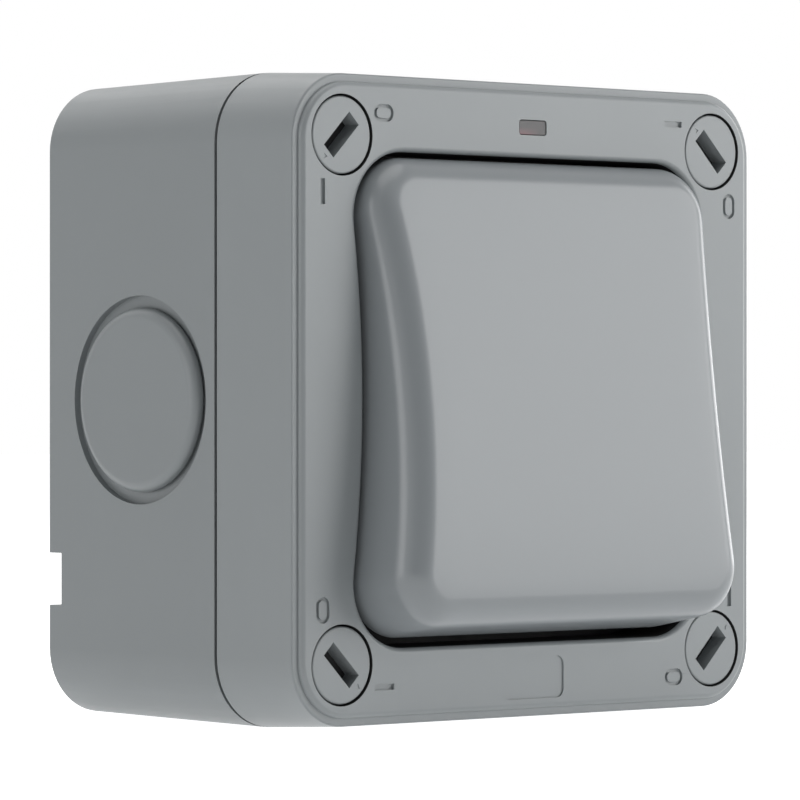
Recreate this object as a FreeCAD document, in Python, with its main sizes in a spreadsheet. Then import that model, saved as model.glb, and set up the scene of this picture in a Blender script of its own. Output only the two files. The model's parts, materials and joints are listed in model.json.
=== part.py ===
import FreeCAD, Part
import math
import operator
import os

import Sketcher

doc = FreeCAD.newDocument("outdoor_switch")
V = FreeCAD.Vector

# The front of the housing faces -Y and the wall is at +Y. The origin is the centre of the plane
# that lies on the wall, and "out" in a name is a distance from that plane towards the front.

housing = {
    "housingSide": 97.8,
    "housingCorner": 10.8,
    "boxDepth": 39.8,
    "boxDraft": 0.9,
    "boxWall": 2.5,
    "floorRecess": 3.0,
    "floorThickness": 2.5,
    "notchDepth": 2.9,
    "notchHeight": 8.0,
    "notchFromEnd": 21.43,
    "fixingInsetAcross": 18.9,
    "fixingInsetUp": 28.9,
    "fixingHole": 4.8,
    "fixingBoss": 10.0,
}

cover = {
    "seamGap": 0.4,
    "coverDepth": 16.8,
    "coverDraft": 2.8,
    "coverWall": 2.5,
    "coverFront": 3.0,
    "coverRound": 0.3,
    "panelRise": 0.9,
    "panelInset": 1.2,
    "panelRound": 0.25,
    "flangeWidth": 5.0,
    "flangeDepth": 4.0,
    "gasketInset": 0.9,
    "gasketWidth": 1.5,
    "gasketGroove": 1.6,
    "gasketFit": 0.05,
}

opening = {
    "apertureSideMargin": 14.35,
    "apertureEndMargin": 12.05,
    "waistRadius": 196.0,
    "apertureCorner": 9.8,
    "apertureRound": 0.8,
    "trayDepth": 11.5,
    "trayFloor": 2.0,
    "trayWall": 2.0,
    "bootOpening": 21.8,
    "earInset": 8.9,
    "earThickness": 3.0,
    "earRadius": 3.4,
    "earWidth": 8.0,
    "earRound": 3.0,
}

indicator = {
    "windowInset": 7.5,
    "windowWidth": 5.8,
    "windowHeight": 2.35,
    "windowCorner": 0.5,
    "lensRecess": 0.5,
    "lensClearance": 0.1,
    "lensFlange": 1.2,
    "lensLip": 0.9,
    "lampRadius": 1.25,
    "lampLength": 4.0,
    "lampRim": 0.3,
    "lampDome": 1.2,
    "lampLeadRadius": 0.25,
    "lampLeadLength": 3.5,
    "holderWidth": 8.0,
    "holderDepth": 4.0,
    "holderClearance": 0.3,
}

rockerSizes = {
    "rockerSideGap": 0.6,
    "rockerEndGap": 1.2,
    "rockerCorner": 8.6,
    "rockerDraft": 3.5,
    "rockerRise": 15.0,
    "rockerCrown": 2.05,
    "rockerRound": 4.5,
    "rockerWall": 2.2,
    "rockerSkin": 4.0,
    "rockerTilt": 7.3,
    "pivotDepth": 6.0,
    "pivotPin": 1.5,
    "pivotFit": 0.05,
    "cheekThickness": 2.5,
    "cheekGap": 0.3,
    "cheekFoot": 3.2,
    "cheekRoot": 12.0,
    "cheekRound": 2.8,
    "pinEnd": 0.5,
    "driveArm": 8.7,
    "driveTip": 1.5,
    "driveNeck": 1.0,
    "driveRoot": 3.0,
    "driveWidth": 10.0,
}

boot = {
    "bootFlange": 14.0,
    "bootThickness": 1.5,
    "bootSkin": 1.2,
    "bootFit": 0.2,
    "bootNeck": 6.1,
    "bootHeight": 4.2,
    "clampInner": 10.6,
    "clampOuter": 15.0,
    "clampThickness": 1.8,
    "clampScrewUp": 18.0,
    "clampScrewPad": 3.0,
    "clampScrewRadius": 0.9,
    "clampScrewGrip": 1.5,
    "clampHeadRadius": 1.9,
    "clampHeadHeight": 1.0,
}

mechanism = {
    "dollyDepth": 20.5,
    "dollyTilt": 10.95,
    "dollyDrum": 3.2,
    "dollyHalf": 13.2,
    "dollyPin": 1.5,
    "dollyPinLength": 3.6,
    "dollyFit": 0.1,
    "forkHalf": 6.0,
    "forkReach": 7.4,
    "forkWall": 1.6,
    "forkRound": 0.76,
    "forkFit": 0.25,
    "poleAcross": 7.5,
    "sleeveRadius": 2.8,
    "sleeveReach": 5.5,
    "plungerRadius": 1.6,
    "plungerFit": 0.15,
    "plungerRound": 1.55,
    "plungerTip": 8.2,
    "plungerBack": 1.6,
    "springBack": 1.8,
    "springRadius": 1.2,
    "springWire": 0.22,
    "springTurns": 5.0,
    "baseAcross": 17.5,
    "baseCorner": 1.5,
    "baseWall": 2.0,
    "cavityDepth": 18.0,
    "cavityAcross": 4.2,
    "cavityFloor": 3.0,
    "armEndGap": 1.0,
    "cavityEndWall": 1.0,
    "terminalPocket": 8.0,
    "terminalPocketHalf": 4.3,
    "topThickness": 3.0,
    "topLap": 0.6,
    "topWindowUp": 5.2,
    "topWindowAcross": 13.7,
    "flangeAcross": 28.0,
    "flangeUp": 5.0,
    "flangeHeight": 3.0,
    "mountInset": 4.0,
}

contacts = {
    "armPivotDepth": 10.5,
    "armTilt": 6.0,
    "armHalf": 10.0,
    "armWidth": 6.0,
    "armThickness": 0.8,
    "armBead": 0.55,
    "contactInset": 2.0,
    "rivetRadius": 1.5,
    "rivetHeight": 1.0,
    "contactGap": 0.2,
    "seatGap": 0.3,
    "stripThickness": 0.8,
    "stripWidth": 4.0,
    "trenchDepth": 1.2,
    "stopHalf": 1.0,
    "postWidth": 2.0,
    "postRound": 0.9,
    "terminalSetback": 3.6,
    "terminalSide": 6.4,
    "terminalAcross": 7.6,
    "terminalHeight": 9.5,
    "wireHole": 3.8,
    "wireHoleRise": 4.4,
}

fastenings = {
    "fastenerInset": 9.9,
    "fastenerHole": 12.1,
    "fastenerGap": 0.3,
    "fastenerSink": 0.15,
    "wellDepth": 8.3,
    "headLength": 6.2,
    "headRound": 0.3,
    "driverLength": 7.06,
    "driverWidth": 2.65,
    "driverDepth": 3.0,
    "shankRadius": 3.6,
    "shankFit": 0.1,
    "columnRadius": 8.0,
    "lugReach": 5.6,
    "lugWidth": 4.0,
    "lugThickness": 2.5,
    "lugGap": 0.3,
    "lugSlotFit": 0.4,
    "ledgeThickness": 3.0,
    "chamberRadius": 6.3,
    "chamberDepth": 7.0,
    "postInner": 8.4,
    "postOuter": 8.2,
    "postCorner": 8.0,
    "ringThickness": 1.6,
    "ringFit": 0.1,
}

entries = {
    "entryMargin": 8.3,
    "entryShift": 0.7,
    "entrySeatWidth": 2.9,
    "entryRecessDepth": 1.3,
    "entryBossWall": 0.85,
    "entryBossDepth": 3.3,
    "plugHeadGap": 1.8,
    "plugProud": 0.9,
    "plugRound": 1.7,
    "plugBarrelGap": 0.3,
    "plugBarrelWall": 1.8,
    "plugSeal": 0.4,
    "plugSealRim": 0.5,
    "nutInset": 1.4,
    "nutThickness": 4.0,
    "plugEnd": 1.0,
    "nutFit": 0.1,
}

smallScrews = {
    "mountScrewShank": 1.2,
    "mountScrewHead": 2.8,
    "mountScrewHeadHeight": 1.8,
    "mountScrewGrip": 3.8,
    "mountBoss": 8.0,
    "screwFit": 0.1,
    "terminalScrewShank": 1.6,
    "terminalScrewHead": 2.6,
    "terminalScrewHeadHeight": 2.0,
    "terminalScrewGrip": 3.2,
    "slotWidth": 0.8,
    "slotShare": 0.5,
    "headRoundShare": 0.3,
    "topScrewSideInset": 2.9,
    "topScrewEndInset": 3.6,
    "topScrewShank": 0.9,
    "topScrewHead": 1.8,
    "topScrewHeadHeight": 1.2,
    "topScrewGrip": 5.0,
    "earthShift": 0.75,
    "earthSide": 9.0,
    "earthHeight": 9.5,
    "earthNest": 2.0,
    "earthNestWall": 1.4,
    "earthFit": 0.2,
}

groups = [housing, cover, opening, indicator, rockerSizes, boot, mechanism, contacts]
groups += [fastenings, entries, smallScrews]

sheet = doc.addObject("Spreadsheet::Sheet", "Sizes")
row = 1
for group in groups:
    for alias, number in group.items():
        sheet.set(f"A{row}", alias)
        sheet.set(f"B{row}", str(number))
        sheet.setAlias(f"B{row}", alias)
        row += 1
doc.recompute()


class Formula:
    """A length with the sheet formula that gives it."""

    def __init__(self, text, number):
        self.text = text
        self.number = number

    def join(self, sign, other, work):
        other = asFormula(other)
        return Formula(f"({self.text} {sign} {other.text})", work(self.number, other.number))

    def __add__(self, other):
        return self.join("+", other, operator.add)

    def __sub__(self, other):
        return self.join("-", other, operator.sub)

    def __mul__(self, other):
        return self.join("*", other, operator.mul)

    def __truediv__(self, other):
        return self.join("/", other, operator.truediv)

    def __radd__(self, other):
        return asFormula(other) + self

    def __rsub__(self, other):
        return asFormula(other) - self

    def __rmul__(self, other):
        return asFormula(other) * self

    def __neg__(self):
        return asFormula(-1) * self


def asFormula(value):
    if isinstance(value, Formula):
        return value
    return Formula(f"({float(value)})", float(value))


class Sizes:
    """Gives each alias of the sheet as a formula."""

    def __getattr__(self, alias):
        return Formula(f"Sizes.{alias}", float(sheet.get(alias)))


s = Sizes()


def sine(angle):
    return Formula(f"sin({angle.text})", math.sin(math.radians(angle.number)))


def cosine(angle):
    return Formula(f"cos({angle.text})", math.cos(math.radians(angle.number)))


def tangent(angle):
    return Formula(f"tan({angle.text})", math.tan(math.radians(angle.number)))


def root(value):
    return Formula(f"sqrt({value.text})", math.sqrt(value.number))


def numberOf(value):
    return asFormula(value).number


def bind(thing, name, value):
    thing.setExpression(name, asFormula(value).text)


def originOf(body, role):
    return [feature for feature in body.Origin.OriginFeatures if feature.Role == role][0]


def newBody(label):
    body = doc.addObject("PartDesign::Body", label)
    body.Label = label
    return body


def place(body, x, out, z, axis=(0, 0, 1), angle=0):
    """Puts a body's own origin at x, z and a distance out from the wall."""
    turn = FreeCAD.Rotation(V(*axis), numberOf(angle))
    body.Placement = FreeCAD.Placement(V(numberOf(x), -numberOf(out), numberOf(z)), turn)
    bind(body, "Placement.Base.x", x)
    bind(body, "Placement.Base.y", -asFormula(out))
    bind(body, "Placement.Base.z", z)
    if isinstance(angle, Formula):
        bind(body, "Placement.Rotation.Angle", angle)


def sketchOn(body, name, role, offset=0):
    sketch = body.newObject("Sketcher::SketchObject", name)
    sketch.AttachmentSupport = [(originOf(body, role), "")]
    sketch.MapMode = "FlatFace"
    if isinstance(offset, Formula):
        bind(sketch, "AttachmentOffset.Base.z", offset)
    return sketch


def frontSketch(body, name, out=0):
    """A sketch seen from the front, with X across, Z up and its normal towards -Y."""
    return sketchOn(body, name, "XZ_Plane", out)


def sideSketch(body, name, x=0):
    """A sketch in the YZ plane, with Y across and Z up and its normal towards +X."""
    return sketchOn(body, name, "YZ_Plane", x)


def hold(sketch, kind, *args):
    """Adds a constraint, whose last argument may be a formula."""
    value = args[-1]
    if not isinstance(value, Formula):
        return sketch.addConstraint(Sketcher.Constraint(kind, *args))
    index = sketch.addConstraint(Sketcher.Constraint(kind, *args[:-1], value.number))
    bind(sketch, f"Constraints[{index}]", value)
    return index


def pin(sketch, curve, point, x, y):
    """Fixes one point of a sketch at x, y."""
    if numberOf(x) == 0 and not isinstance(x, Formula):
        hold(sketch, "PointOnObject", curve, point, -2)
    else:
        hold(sketch, "DistanceX", -1, 1, curve, point, asFormula(x))
    if numberOf(y) == 0 and not isinstance(y, Formula):
        hold(sketch, "PointOnObject", curve, point, -1)
    else:
        hold(sketch, "DistanceY", -1, 1, curve, point, asFormula(y))


def circle(sketch, x, y, radius):
    centre = V(numberOf(x), numberOf(y), 0)
    curve = sketch.addGeometry(Part.Circle(centre, V(0, 0, 1), numberOf(radius)), False)
    pin(sketch, curve, 3, x, y)
    hold(sketch, "Radius", curve, asFormula(radius))


def arcThrough(centre, radius, first, last):
    """An arc from first to last, anticlockwise about its centre."""
    start = math.atan2(first.y - centre.y, first.x - centre.x)
    end = math.atan2(last.y - centre.y, last.x - centre.x)
    return Part.ArcOfCircle(Part.Circle(centre, V(0, 0, 1), radius), start, end)


def outline(sketch, corners):
    """Draws a closed outline. Each corner is x, y or x, y, radius, anticlockwise or not."""
    points = [V(numberOf(corner[0]), numberOf(corner[1]), 0) for corner in corners]
    radii = [corner[2] if len(corner) > 2 else None for corner in corners]
    count = len(points)
    arrive = []
    leave = []
    centres = []
    for i in range(count):
        back = (points[i - 1] - points[i]).normalize()
        ahead = (points[(i + 1) % count] - points[i]).normalize()
        if radii[i] is None:
            arrive.append(points[i])
            leave.append(points[i])
            centres.append(None)
            continue
        half = back.getAngle(ahead) / 2
        radius = numberOf(radii[i])
        arrive.append(points[i] + back * (radius / math.tan(half)))
        leave.append(points[i] + ahead * (radius / math.tan(half)))
        centres.append(points[i] + (back + ahead).normalize() * (radius / math.sin(half)))
    lines = []
    for i in range(count):
        side = Part.LineSegment(leave[i], arrive[(i + 1) % count])
        lines.append(sketch.addGeometry(side, False))
    for i in range(count):
        before = lines[i - 1]
        after = lines[i]
        if radii[i] is None:
            hold(sketch, "Coincident", before, 2, after, 1)
            pin(sketch, after, 1, corners[i][0], corners[i][1])
            continue
        turn = (arrive[i] - centres[i]).cross(leave[i] - centres[i]).z
        radius = numberOf(radii[i])
        if turn > 0:
            arc = sketch.addGeometry(arcThrough(centres[i], radius, arrive[i], leave[i]), False)
            hold(sketch, "Tangent", before, 2, arc, 1)
            hold(sketch, "Tangent", arc, 2, after, 1)
        else:
            arc = sketch.addGeometry(arcThrough(centres[i], radius, leave[i], arrive[i]), False)
            hold(sketch, "Tangent", before, 2, arc, 2)
            hold(sketch, "Tangent", arc, 1, after, 1)
        hold(sketch, "Radius", arc, asFormula(radii[i]))
        corner = sketch.addGeometry(Part.Point(points[i]), True)
        hold(sketch, "PointOnObject", corner, 1, before)
        hold(sketch, "PointOnObject", corner, 1, after)
        pin(sketch, corner, 1, corners[i][0], corners[i][1])


def rectangle(sketch, left, right, low, high, radius=None):
    corners = [(left, low), (right, low), (right, high), (left, high)]
    if radius is not None:
        corners = [(x, y, radius) for x, y in corners]
    outline(sketch, corners)


def roundedSquare(sketch, half, radius):
    rectangle(sketch, -half, half, -half, half, radius)


def waisted(sketch, halfWaist, halfHeight, sideRadius, cornerRadius):
    """A tall outline with straight ends and sides that bow inwards to a waist."""
    waist = halfWaist.number
    top = halfHeight.number
    bow = sideRadius.number
    corner = cornerRadius.number
    cornerUp = top - corner
    cornerAcross = waist + bow - math.sqrt((bow + corner) ** 2 - cornerUp ** 2)
    share = bow / (bow + corner)
    sideCentre = V(waist + bow, 0, 0)
    corners = {}
    for x in (1, -1):
        for y in (1, -1):
            corners[x, y] = V(x * cornerAcross, y * cornerUp, 0)
    touch = sideCentre + (corners[1, 1] - sideCentre) * share
    ends = []
    for y in (1, -1):
        first = V(y * cornerAcross, y * top, 0)
        last = V(-y * cornerAcross, y * top, 0)
        ends.append(sketch.addGeometry(Part.LineSegment(first, last), False))
    sides = []
    for x in (1, -1):
        low = V(x * touch.x, -touch.y, 0)
        high = V(x * touch.x, touch.y, 0)
        centre = V(x * sideCentre.x, 0, 0)
        if x > 0:
            arc = arcThrough(centre, bow, high, low)
        else:
            arc = arcThrough(centre, bow, low, high)
        sides.append(sketch.addGeometry(arc, False))
    rounds = {}
    for (x, y), centre in corners.items():
        onEnd = V(x * cornerAcross, y * top, 0)
        onSide = V(x * touch.x, y * touch.y, 0)
        if x * y > 0:
            arc = arcThrough(centre, corner, onSide, onEnd)
        else:
            arc = arcThrough(centre, corner, onEnd, onSide)
        rounds[x, y] = sketch.addGeometry(arc, False)
        hold(sketch, "Radius", rounds[x, y], cornerRadius)
    right, left = sides
    top, bottom = ends
    hold(sketch, "Tangent", rounds[1, 1], 2, top, 1)
    hold(sketch, "Tangent", top, 2, rounds[-1, 1], 1)
    hold(sketch, "Tangent", rounds[-1, 1], 2, left, 2)
    hold(sketch, "Tangent", left, 1, rounds[-1, -1], 1)
    hold(sketch, "Tangent", rounds[-1, -1], 2, bottom, 1)
    hold(sketch, "Tangent", bottom, 2, rounds[1, -1], 1)
    hold(sketch, "Tangent", rounds[1, -1], 2, right, 2)
    hold(sketch, "Tangent", right, 1, rounds[1, 1], 1)
    for arc, sign in ((right, 1), (left, -1)):
        hold(sketch, "Radius", arc, sideRadius)
        pin(sketch, arc, 3, sign * (halfWaist + sideRadius), 0)
    for line, sign in ((top, 1), (bottom, -1)):
        hold(sketch, "Horizontal", line)
        hold(sketch, "DistanceY", -1, 1, line, 1, sign * halfHeight)


def settle(body, feature):
    """Recomputes and stops at the feature that failed."""
    body.Tip = feature
    doc.recompute()
    if feature.Shape.isNull() or "Invalid" in feature.State or "Error" in feature.State:
        raise RuntimeError(f"{body.Label}: {feature.Name} failed")
    return feature


def pad(body, name, sketch, length, back=False, middle=False, taper=None):
    feature = body.newObject("PartDesign::Pad", name)
    feature.Profile = sketch
    bind(feature, "Length", length)
    feature.Reversed = back
    feature.Midplane = middle
    if taper is not None:
        bind(feature, "TaperAngle", taper)
    return settle(body, feature)


def pocket(body, name, sketch, length, front=False, middle=False, taper=None):
    before = body.Tip.Shape.Volume
    feature = body.newObject("PartDesign::Pocket", name)
    feature.Profile = sketch
    bind(feature, "Length", length)
    feature.Reversed = front
    feature.Midplane = middle
    if taper is not None:
        bind(feature, "TaperAngle", taper)
    settle(body, feature)
    if feature.Shape.Volume > before - 1e-3:
        raise RuntimeError(f"{body.Label}: {name} cuts nothing")
    return feature


def revolve(body, name, sketch, kind="Revolution", axis="V_Axis"):
    feature = body.newObject(f"PartDesign::{kind}", name)
    feature.Profile = sketch
    feature.ReferenceAxis = (sketch, [axis])
    feature.Angle = 360
    return settle(body, feature)


def turned(body, name, profile):
    """Turns a profile of radius, y points about the body's Y axis."""
    sketch = sketchOn(body, name + "_profile", "XY_Plane")
    outline(sketch, profile)
    return revolve(body, name, sketch)


def around(body, name, features, count=4, angle=360):
    pattern = body.newObject("PartDesign::PolarPattern", name)
    pattern.Originals = features
    pattern.Axis = (originOf(body, "Y_Axis"), [""])
    pattern.Angle = angle
    pattern.Occurrences = count
    return settle(body, pattern)


def mirrored(body, name, features, role="YZ_Plane"):
    pattern = body.newObject("PartDesign::Mirrored", name)
    pattern.Originals = features
    pattern.MirrorPlane = (originOf(body, role), [""])
    return settle(body, pattern)


def edgesWhere(shape, test):
    return [f"Edge{i + 1}" for i, edge in enumerate(shape.Edges) if test(edge)]


def roundEdges(body, name, radius, test):
    base = body.Tip
    chosen = edgesWhere(base.Shape, test)
    if not chosen:
        raise RuntimeError(f"{body.Label}: {name} finds no edge")
    feature = body.newObject("PartDesign::Fillet", name)
    feature.Base = (base, chosen)
    bind(feature, "Radius", radius)
    return settle(body, feature)


def liesOut(edge, out):
    """Whether an edge lies wholly at one distance from the wall."""
    box = edge.BoundBox
    return abs(box.YMin + out.number) < 1e-4 and abs(box.YMax + out.number) < 1e-4


def reach(edge):
    """How far an edge gets from the middle of the front, across or up."""
    box = edge.BoundBox
    return max(abs(box.XMin), abs(box.XMax), abs(box.ZMin), abs(box.ZMax))


# Places that several pieces share, each as a distance out from the wall.
half = s.housingSide / 2
floorOut = s.floorRecess + s.floorThickness
coverBackOut = s.boxDepth + s.seamGap
frontOut = coverBackOut + s.coverDepth
edgeOut = frontOut - s.panelRise
insideOut = frontOut - s.coverFront
trayFloorOut = frontOut - s.trayDepth
trayBackOut = trayFloorOut - s.trayFloor
pivotOut = frontOut - s.pivotDepth
dollyOut = frontOut - s.dollyDepth
cornerAt = half - s.fastenerInset
wellFloorOut = frontOut - s.wellDepth
ledgeOut = s.boxDepth - s.ledgeThickness
wallSlope = tangent(s.boxDraft)
coverSlope = tangent(s.coverDraft)
backHalf = half - s.boxDepth * wallSlope
frontHalf = half - (s.coverDepth - s.panelRise) * coverSlope
entryOut = (floorOut + s.boxDepth) / 2 - s.entryShift
entryRecess = s.boxDepth - s.entryMargin
entryBore = entryRecess - s.entrySeatWidth * 2
entryBoss = entryRecess + s.entryBossWall * 2
entryWallAt = half - (s.boxDepth - entryOut) * wallSlope
entrySeatAt = entryWallAt - s.entryRecessDepth
entryInnerAt = entrySeatAt - s.entryBossDepth
apertureHalf = half - s.apertureEndMargin
waistHalf = half - s.apertureSideMargin
earInner = waistHalf - s.earThickness - s.earInset
windowUp = half - s.windowInset
fixingAcross = half - s.fixingInsetAcross
fixingUp = half - s.fixingInsetUp
mountAcross = s.flangeAcross - s.mountInset
cavityFloorOut = dollyOut - s.cavityDepth
hollowTopOut = cavityFloorOut - s.cavityFloor
armPivotOut = dollyOut - s.armPivotDepth
armContact = s.armHalf - s.contactInset
cavityUp = s.armHalf + s.armEndGap
pocketStart = cavityUp + s.cavityEndWall
baseUp = pocketStart + s.terminalPocket
terminalUp = pocketStart + s.terminalSetback
topUp = cavityUp + s.topLap
topScrewAcross = s.baseAcross - s.topScrewSideInset
topScrewUp = topUp - s.topScrewEndInset
earthDrop = (baseUp + half - s.boxWall) / 2 - s.earthShift


def lugSlot(body, name, out, depth):
    """The keyhole that lets a fastener's lug through when it is turned to O."""
    slotHalf = s.lugWidth / 2 + s.lugSlotFit
    slotReach = s.lugReach + s.lugSlotFit
    bore = frontSketch(body, name + "_bore_sketch", out)
    circle(bore, -cornerAt, cornerAt, s.shankRadius + s.shankFit)
    boreCut = pocket(body, name + "_bore", bore, depth)
    slot = frontSketch(body, name + "_slot_sketch", out)
    lean = slotHalf * root(asFormula(0.5))
    run = slotReach * root(asFormula(0.5))
    x = -cornerAt
    z = cornerAt
    outline(slot, [
        (x - lean, z + lean),
        (x + lean, z - lean),
        (x + lean + run, z - lean + run),
        (x - lean + run, z + lean + run),
    ])
    slotCut = pocket(body, name + "_slot", slot, depth)
    around(body, name + "_around", [boreCut, slotCut])


def makeBackBox():
    body = newBody("back_box")
    place(body, 0, 0, 0)
    shell = frontSketch(body, "shell_sketch", s.boxDepth)
    roundedSquare(shell, half, s.housingCorner)
    pad(body, "shell", shell, s.boxDepth, back=True, taper=-s.boxDraft)
    inside = frontSketch(body, "inside_sketch", s.boxDepth)
    roundedSquare(inside, half - s.boxWall, s.housingCorner - s.boxWall)
    pocket(body, "inside", inside, s.boxDepth - floorOut, taper=-s.boxDraft)
    recess = frontSketch(body, "recess_sketch")
    roundedSquare(recess, backHalf - s.boxWall, s.housingCorner - s.boxWall)
    pocket(body, "recess", recess, s.floorRecess, front=True)

    across = fixingAcross
    up = fixingUp
    bosses = frontSketch(body, "boss_sketch")
    for x in (-across, across):
        for z in (-up, up):
            circle(bosses, x, z, s.fixingBoss / 2)
    for x in (-mountAcross, mountAcross):
        circle(bosses, x, 0, s.mountBoss / 2)
    pad(body, "bosses", bosses, floorOut)
    holes = frontSketch(body, "fixing_sketch", floorOut)
    for x in (-across, across):
        for z in (-up, up):
            circle(holes, x, z, s.fixingHole / 2)
    pocket(body, "fixing_holes", holes, floorOut)

    post = frontSketch(body, "post_sketch", floorOut)
    near = cornerAt - s.postInner
    far = cornerAt + s.postOuter
    small = s.boxWall
    outline(post, [
        (-far, near, small),
        (-near, near, small),
        (-near, far, small),
        (-far, far, s.postCorner),
    ])
    firstPost = pad(body, "post", post, s.boxDepth - floorOut)
    around(body, "posts", [firstPost])
    chamber = frontSketch(body, "chamber_sketch", ledgeOut)
    circle(chamber, -cornerAt, cornerAt, s.chamberRadius)
    firstChamber = pocket(body, "chamber", chamber, s.chamberDepth)
    around(body, "chambers", [firstChamber])
    lugSlot(body, "ledge", s.boxDepth, s.ledgeThickness + s.lugGap)

    boss = sideSketch(body, "entry_boss_sketch", -entryInnerAt)
    circle(boss, -entryOut, 0, entryBoss / 2)
    firstBoss = pad(body, "entry_boss", boss, s.entryBossDepth, back=True)
    around(body, "entry_bosses", [firstBoss], 3, 180)
    seat = sideSketch(body, "entry_seat_sketch", -entrySeatAt)
    circle(seat, -entryOut, 0, entryRecess / 2)
    seatCut = pocket(body, "entry_seat", seat, s.boxWall + s.entryRecessDepth)
    bore = sideSketch(body, "entry_bore_sketch", -entryInnerAt)
    circle(bore, -entryOut, 0, entryBore / 2)
    boreCut = pocket(body, "entry_bore", bore, s.boxWall + s.entryBossDepth)
    around(body, "entries", [seatCut, boreCut], 3, 180)

    notch = sideSketch(body, "notch_sketch", -backHalf - s.boxWall)
    notchDrop = half - s.notchFromEnd
    low = -notchDrop - s.notchHeight / 2
    high = -notchDrop + s.notchHeight / 2
    rectangle(notch, -s.notchDepth, s.notchDepth, low, high)
    notchCut = pocket(body, "notch", notch, s.boxWall * 3, front=True)
    mirrored(body, "notches", [notchCut])

    mounts = frontSketch(body, "mount_sketch", floorOut)
    for x in (-mountAcross, mountAcross):
        circle(mounts, x, 0, s.mountScrewShank + s.screwFit)
    pocket(body, "mount_holes", mounts, s.mountScrewGrip + s.screwFit * 5)

    nest = frontSketch(body, "nest_sketch", floorOut)
    inner = s.earthSide / 2 + s.earthFit
    outer = inner + s.earthNestWall
    drop = -earthDrop
    rectangle(nest, -outer, outer, drop - outer, drop + outer, s.earthNestWall)
    rectangle(nest, -inner, inner, drop - inner, drop + inner)
    pad(body, "earth_nest", nest, s.earthNest)
    return body


def makeFrontCover():
    body = newBody("front_cover")
    place(body, 0, 0, 0)
    skirt = frontSketch(body, "skirt_sketch", coverBackOut)
    roundedSquare(skirt, half, s.housingCorner)
    pad(body, "skirt", skirt, s.coverDepth - s.panelRise, taper=-s.coverDraft)
    roundEdges(body, "skirt_round", s.coverRound, lambda edge: liesOut(edge, edgeOut))
    panel = frontSketch(body, "panel_sketch", edgeOut - s.coverRound)
    panelHalf = frontHalf - s.panelInset
    roundedSquare(panel, panelHalf, s.housingCorner - half + panelHalf)
    pad(body, "panel", panel, s.panelRise + s.coverRound)
    roundEdges(body, "panel_round", s.panelRound, lambda edge: liesOut(edge, frontOut))

    flangeOut = coverBackOut + s.flangeDepth
    inside = frontSketch(body, "inside_sketch", flangeOut)
    insideHalf = half - s.flangeDepth * coverSlope - s.coverWall
    roundedSquare(inside, insideHalf, s.housingCorner - half + insideHalf)
    pocket(body, "inside", inside, insideOut - flangeOut, front=True, taper=-s.coverDraft)
    flange = frontSketch(body, "flange_sketch", flangeOut)
    roundedSquare(flange, half - s.flangeWidth, s.housingCorner - s.flangeWidth)
    pocket(body, "flange", flange, s.flangeDepth)

    tray = frontSketch(body, "tray_sketch", trayBackOut)
    waisted(tray, waistHalf + s.trayWall, apertureHalf + s.trayWall,
            s.waistRadius - s.trayWall, s.apertureCorner + s.trayWall)
    pad(body, "tray", tray, insideOut - trayBackOut + s.coverFront / 2)
    column = frontSketch(body, "column_sketch", coverBackOut)
    circle(column, -cornerAt, cornerAt, s.columnRadius)
    firstColumn = pad(body, "column", column, insideOut - coverBackOut + s.coverFront / 2)
    around(body, "columns", [firstColumn])
    groove = frontSketch(body, "groove_sketch", coverBackOut)
    grooveOuter = half - s.gasketInset
    grooveInner = grooveOuter - s.gasketWidth
    roundedSquare(groove, grooveOuter, s.housingCorner - s.gasketInset)
    roundedSquare(groove, grooveInner, s.housingCorner - s.gasketInset - s.gasketWidth)
    pocket(body, "groove", groove, s.gasketGroove, front=True)

    aperture = frontSketch(body, "aperture_sketch", frontOut)
    waisted(aperture, waistHalf, apertureHalf, s.waistRadius, s.apertureCorner)
    pocket(body, "aperture", aperture, s.trayDepth)
    mouth = frontSketch(body, "mouth_sketch", trayFloorOut)
    circle(mouth, 0, 0, s.bootOpening / 2)
    pocket(body, "mouth", mouth, s.trayFloor)
    well = frontSketch(body, "well_sketch", frontOut)
    circle(well, -cornerAt, cornerAt, s.fastenerHole / 2)
    firstWell = pocket(body, "well", well, s.wellDepth)
    around(body, "wells", [firstWell])
    lugSlot(body, "keyhole", wellFloorOut, wellFloorOut - coverBackOut)

    window = frontSketch(body, "window_sketch", frontOut)
    acrossHalf = s.windowWidth / 2
    upHalf = s.windowHeight / 2
    rectangle(window, -acrossHalf, acrossHalf, windowUp - upHalf, windowUp + upHalf,
              s.windowCorner)
    pocket(body, "window", window, s.coverFront)

    ear = sideSketch(body, "ear_sketch", earInner)
    foot = -(trayFloorOut - s.trayFloor / 2)
    top = -(pivotOut + s.earRadius)
    wide = s.earWidth / 2
    outline(ear, [
        (foot, -wide),
        (foot, wide),
        (top, wide, s.earRound),
        (top, -wide, s.earRound),
    ])
    firstEar = pad(body, "ear", ear, s.earThickness)
    hole = sideSketch(body, "ear_hole_sketch", earInner)
    circle(hole, -pivotOut, 0, s.pivotPin + s.pivotFit)
    earHole = pocket(body, "ear_hole", hole, s.earThickness, front=True)
    mirrored(body, "ears", [firstEar, earHole])

    screws = frontSketch(body, "clamp_hole_sketch", trayBackOut)
    for z in (-s.clampScrewUp, s.clampScrewUp):
        circle(screws, 0, z, s.clampScrewRadius + s.screwFit)
    pocket(body, "clamp_holes", screws, s.clampScrewGrip + s.screwFit, front=True)

    innermost = apertureHalf + s.apertureRound
    roundEdges(body, "aperture_round", s.apertureRound,
               lambda edge: liesOut(edge, frontOut) and reach(edge) < innermost.number
               and reach(edge) > waistHalf.number / 2)
    return body


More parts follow.
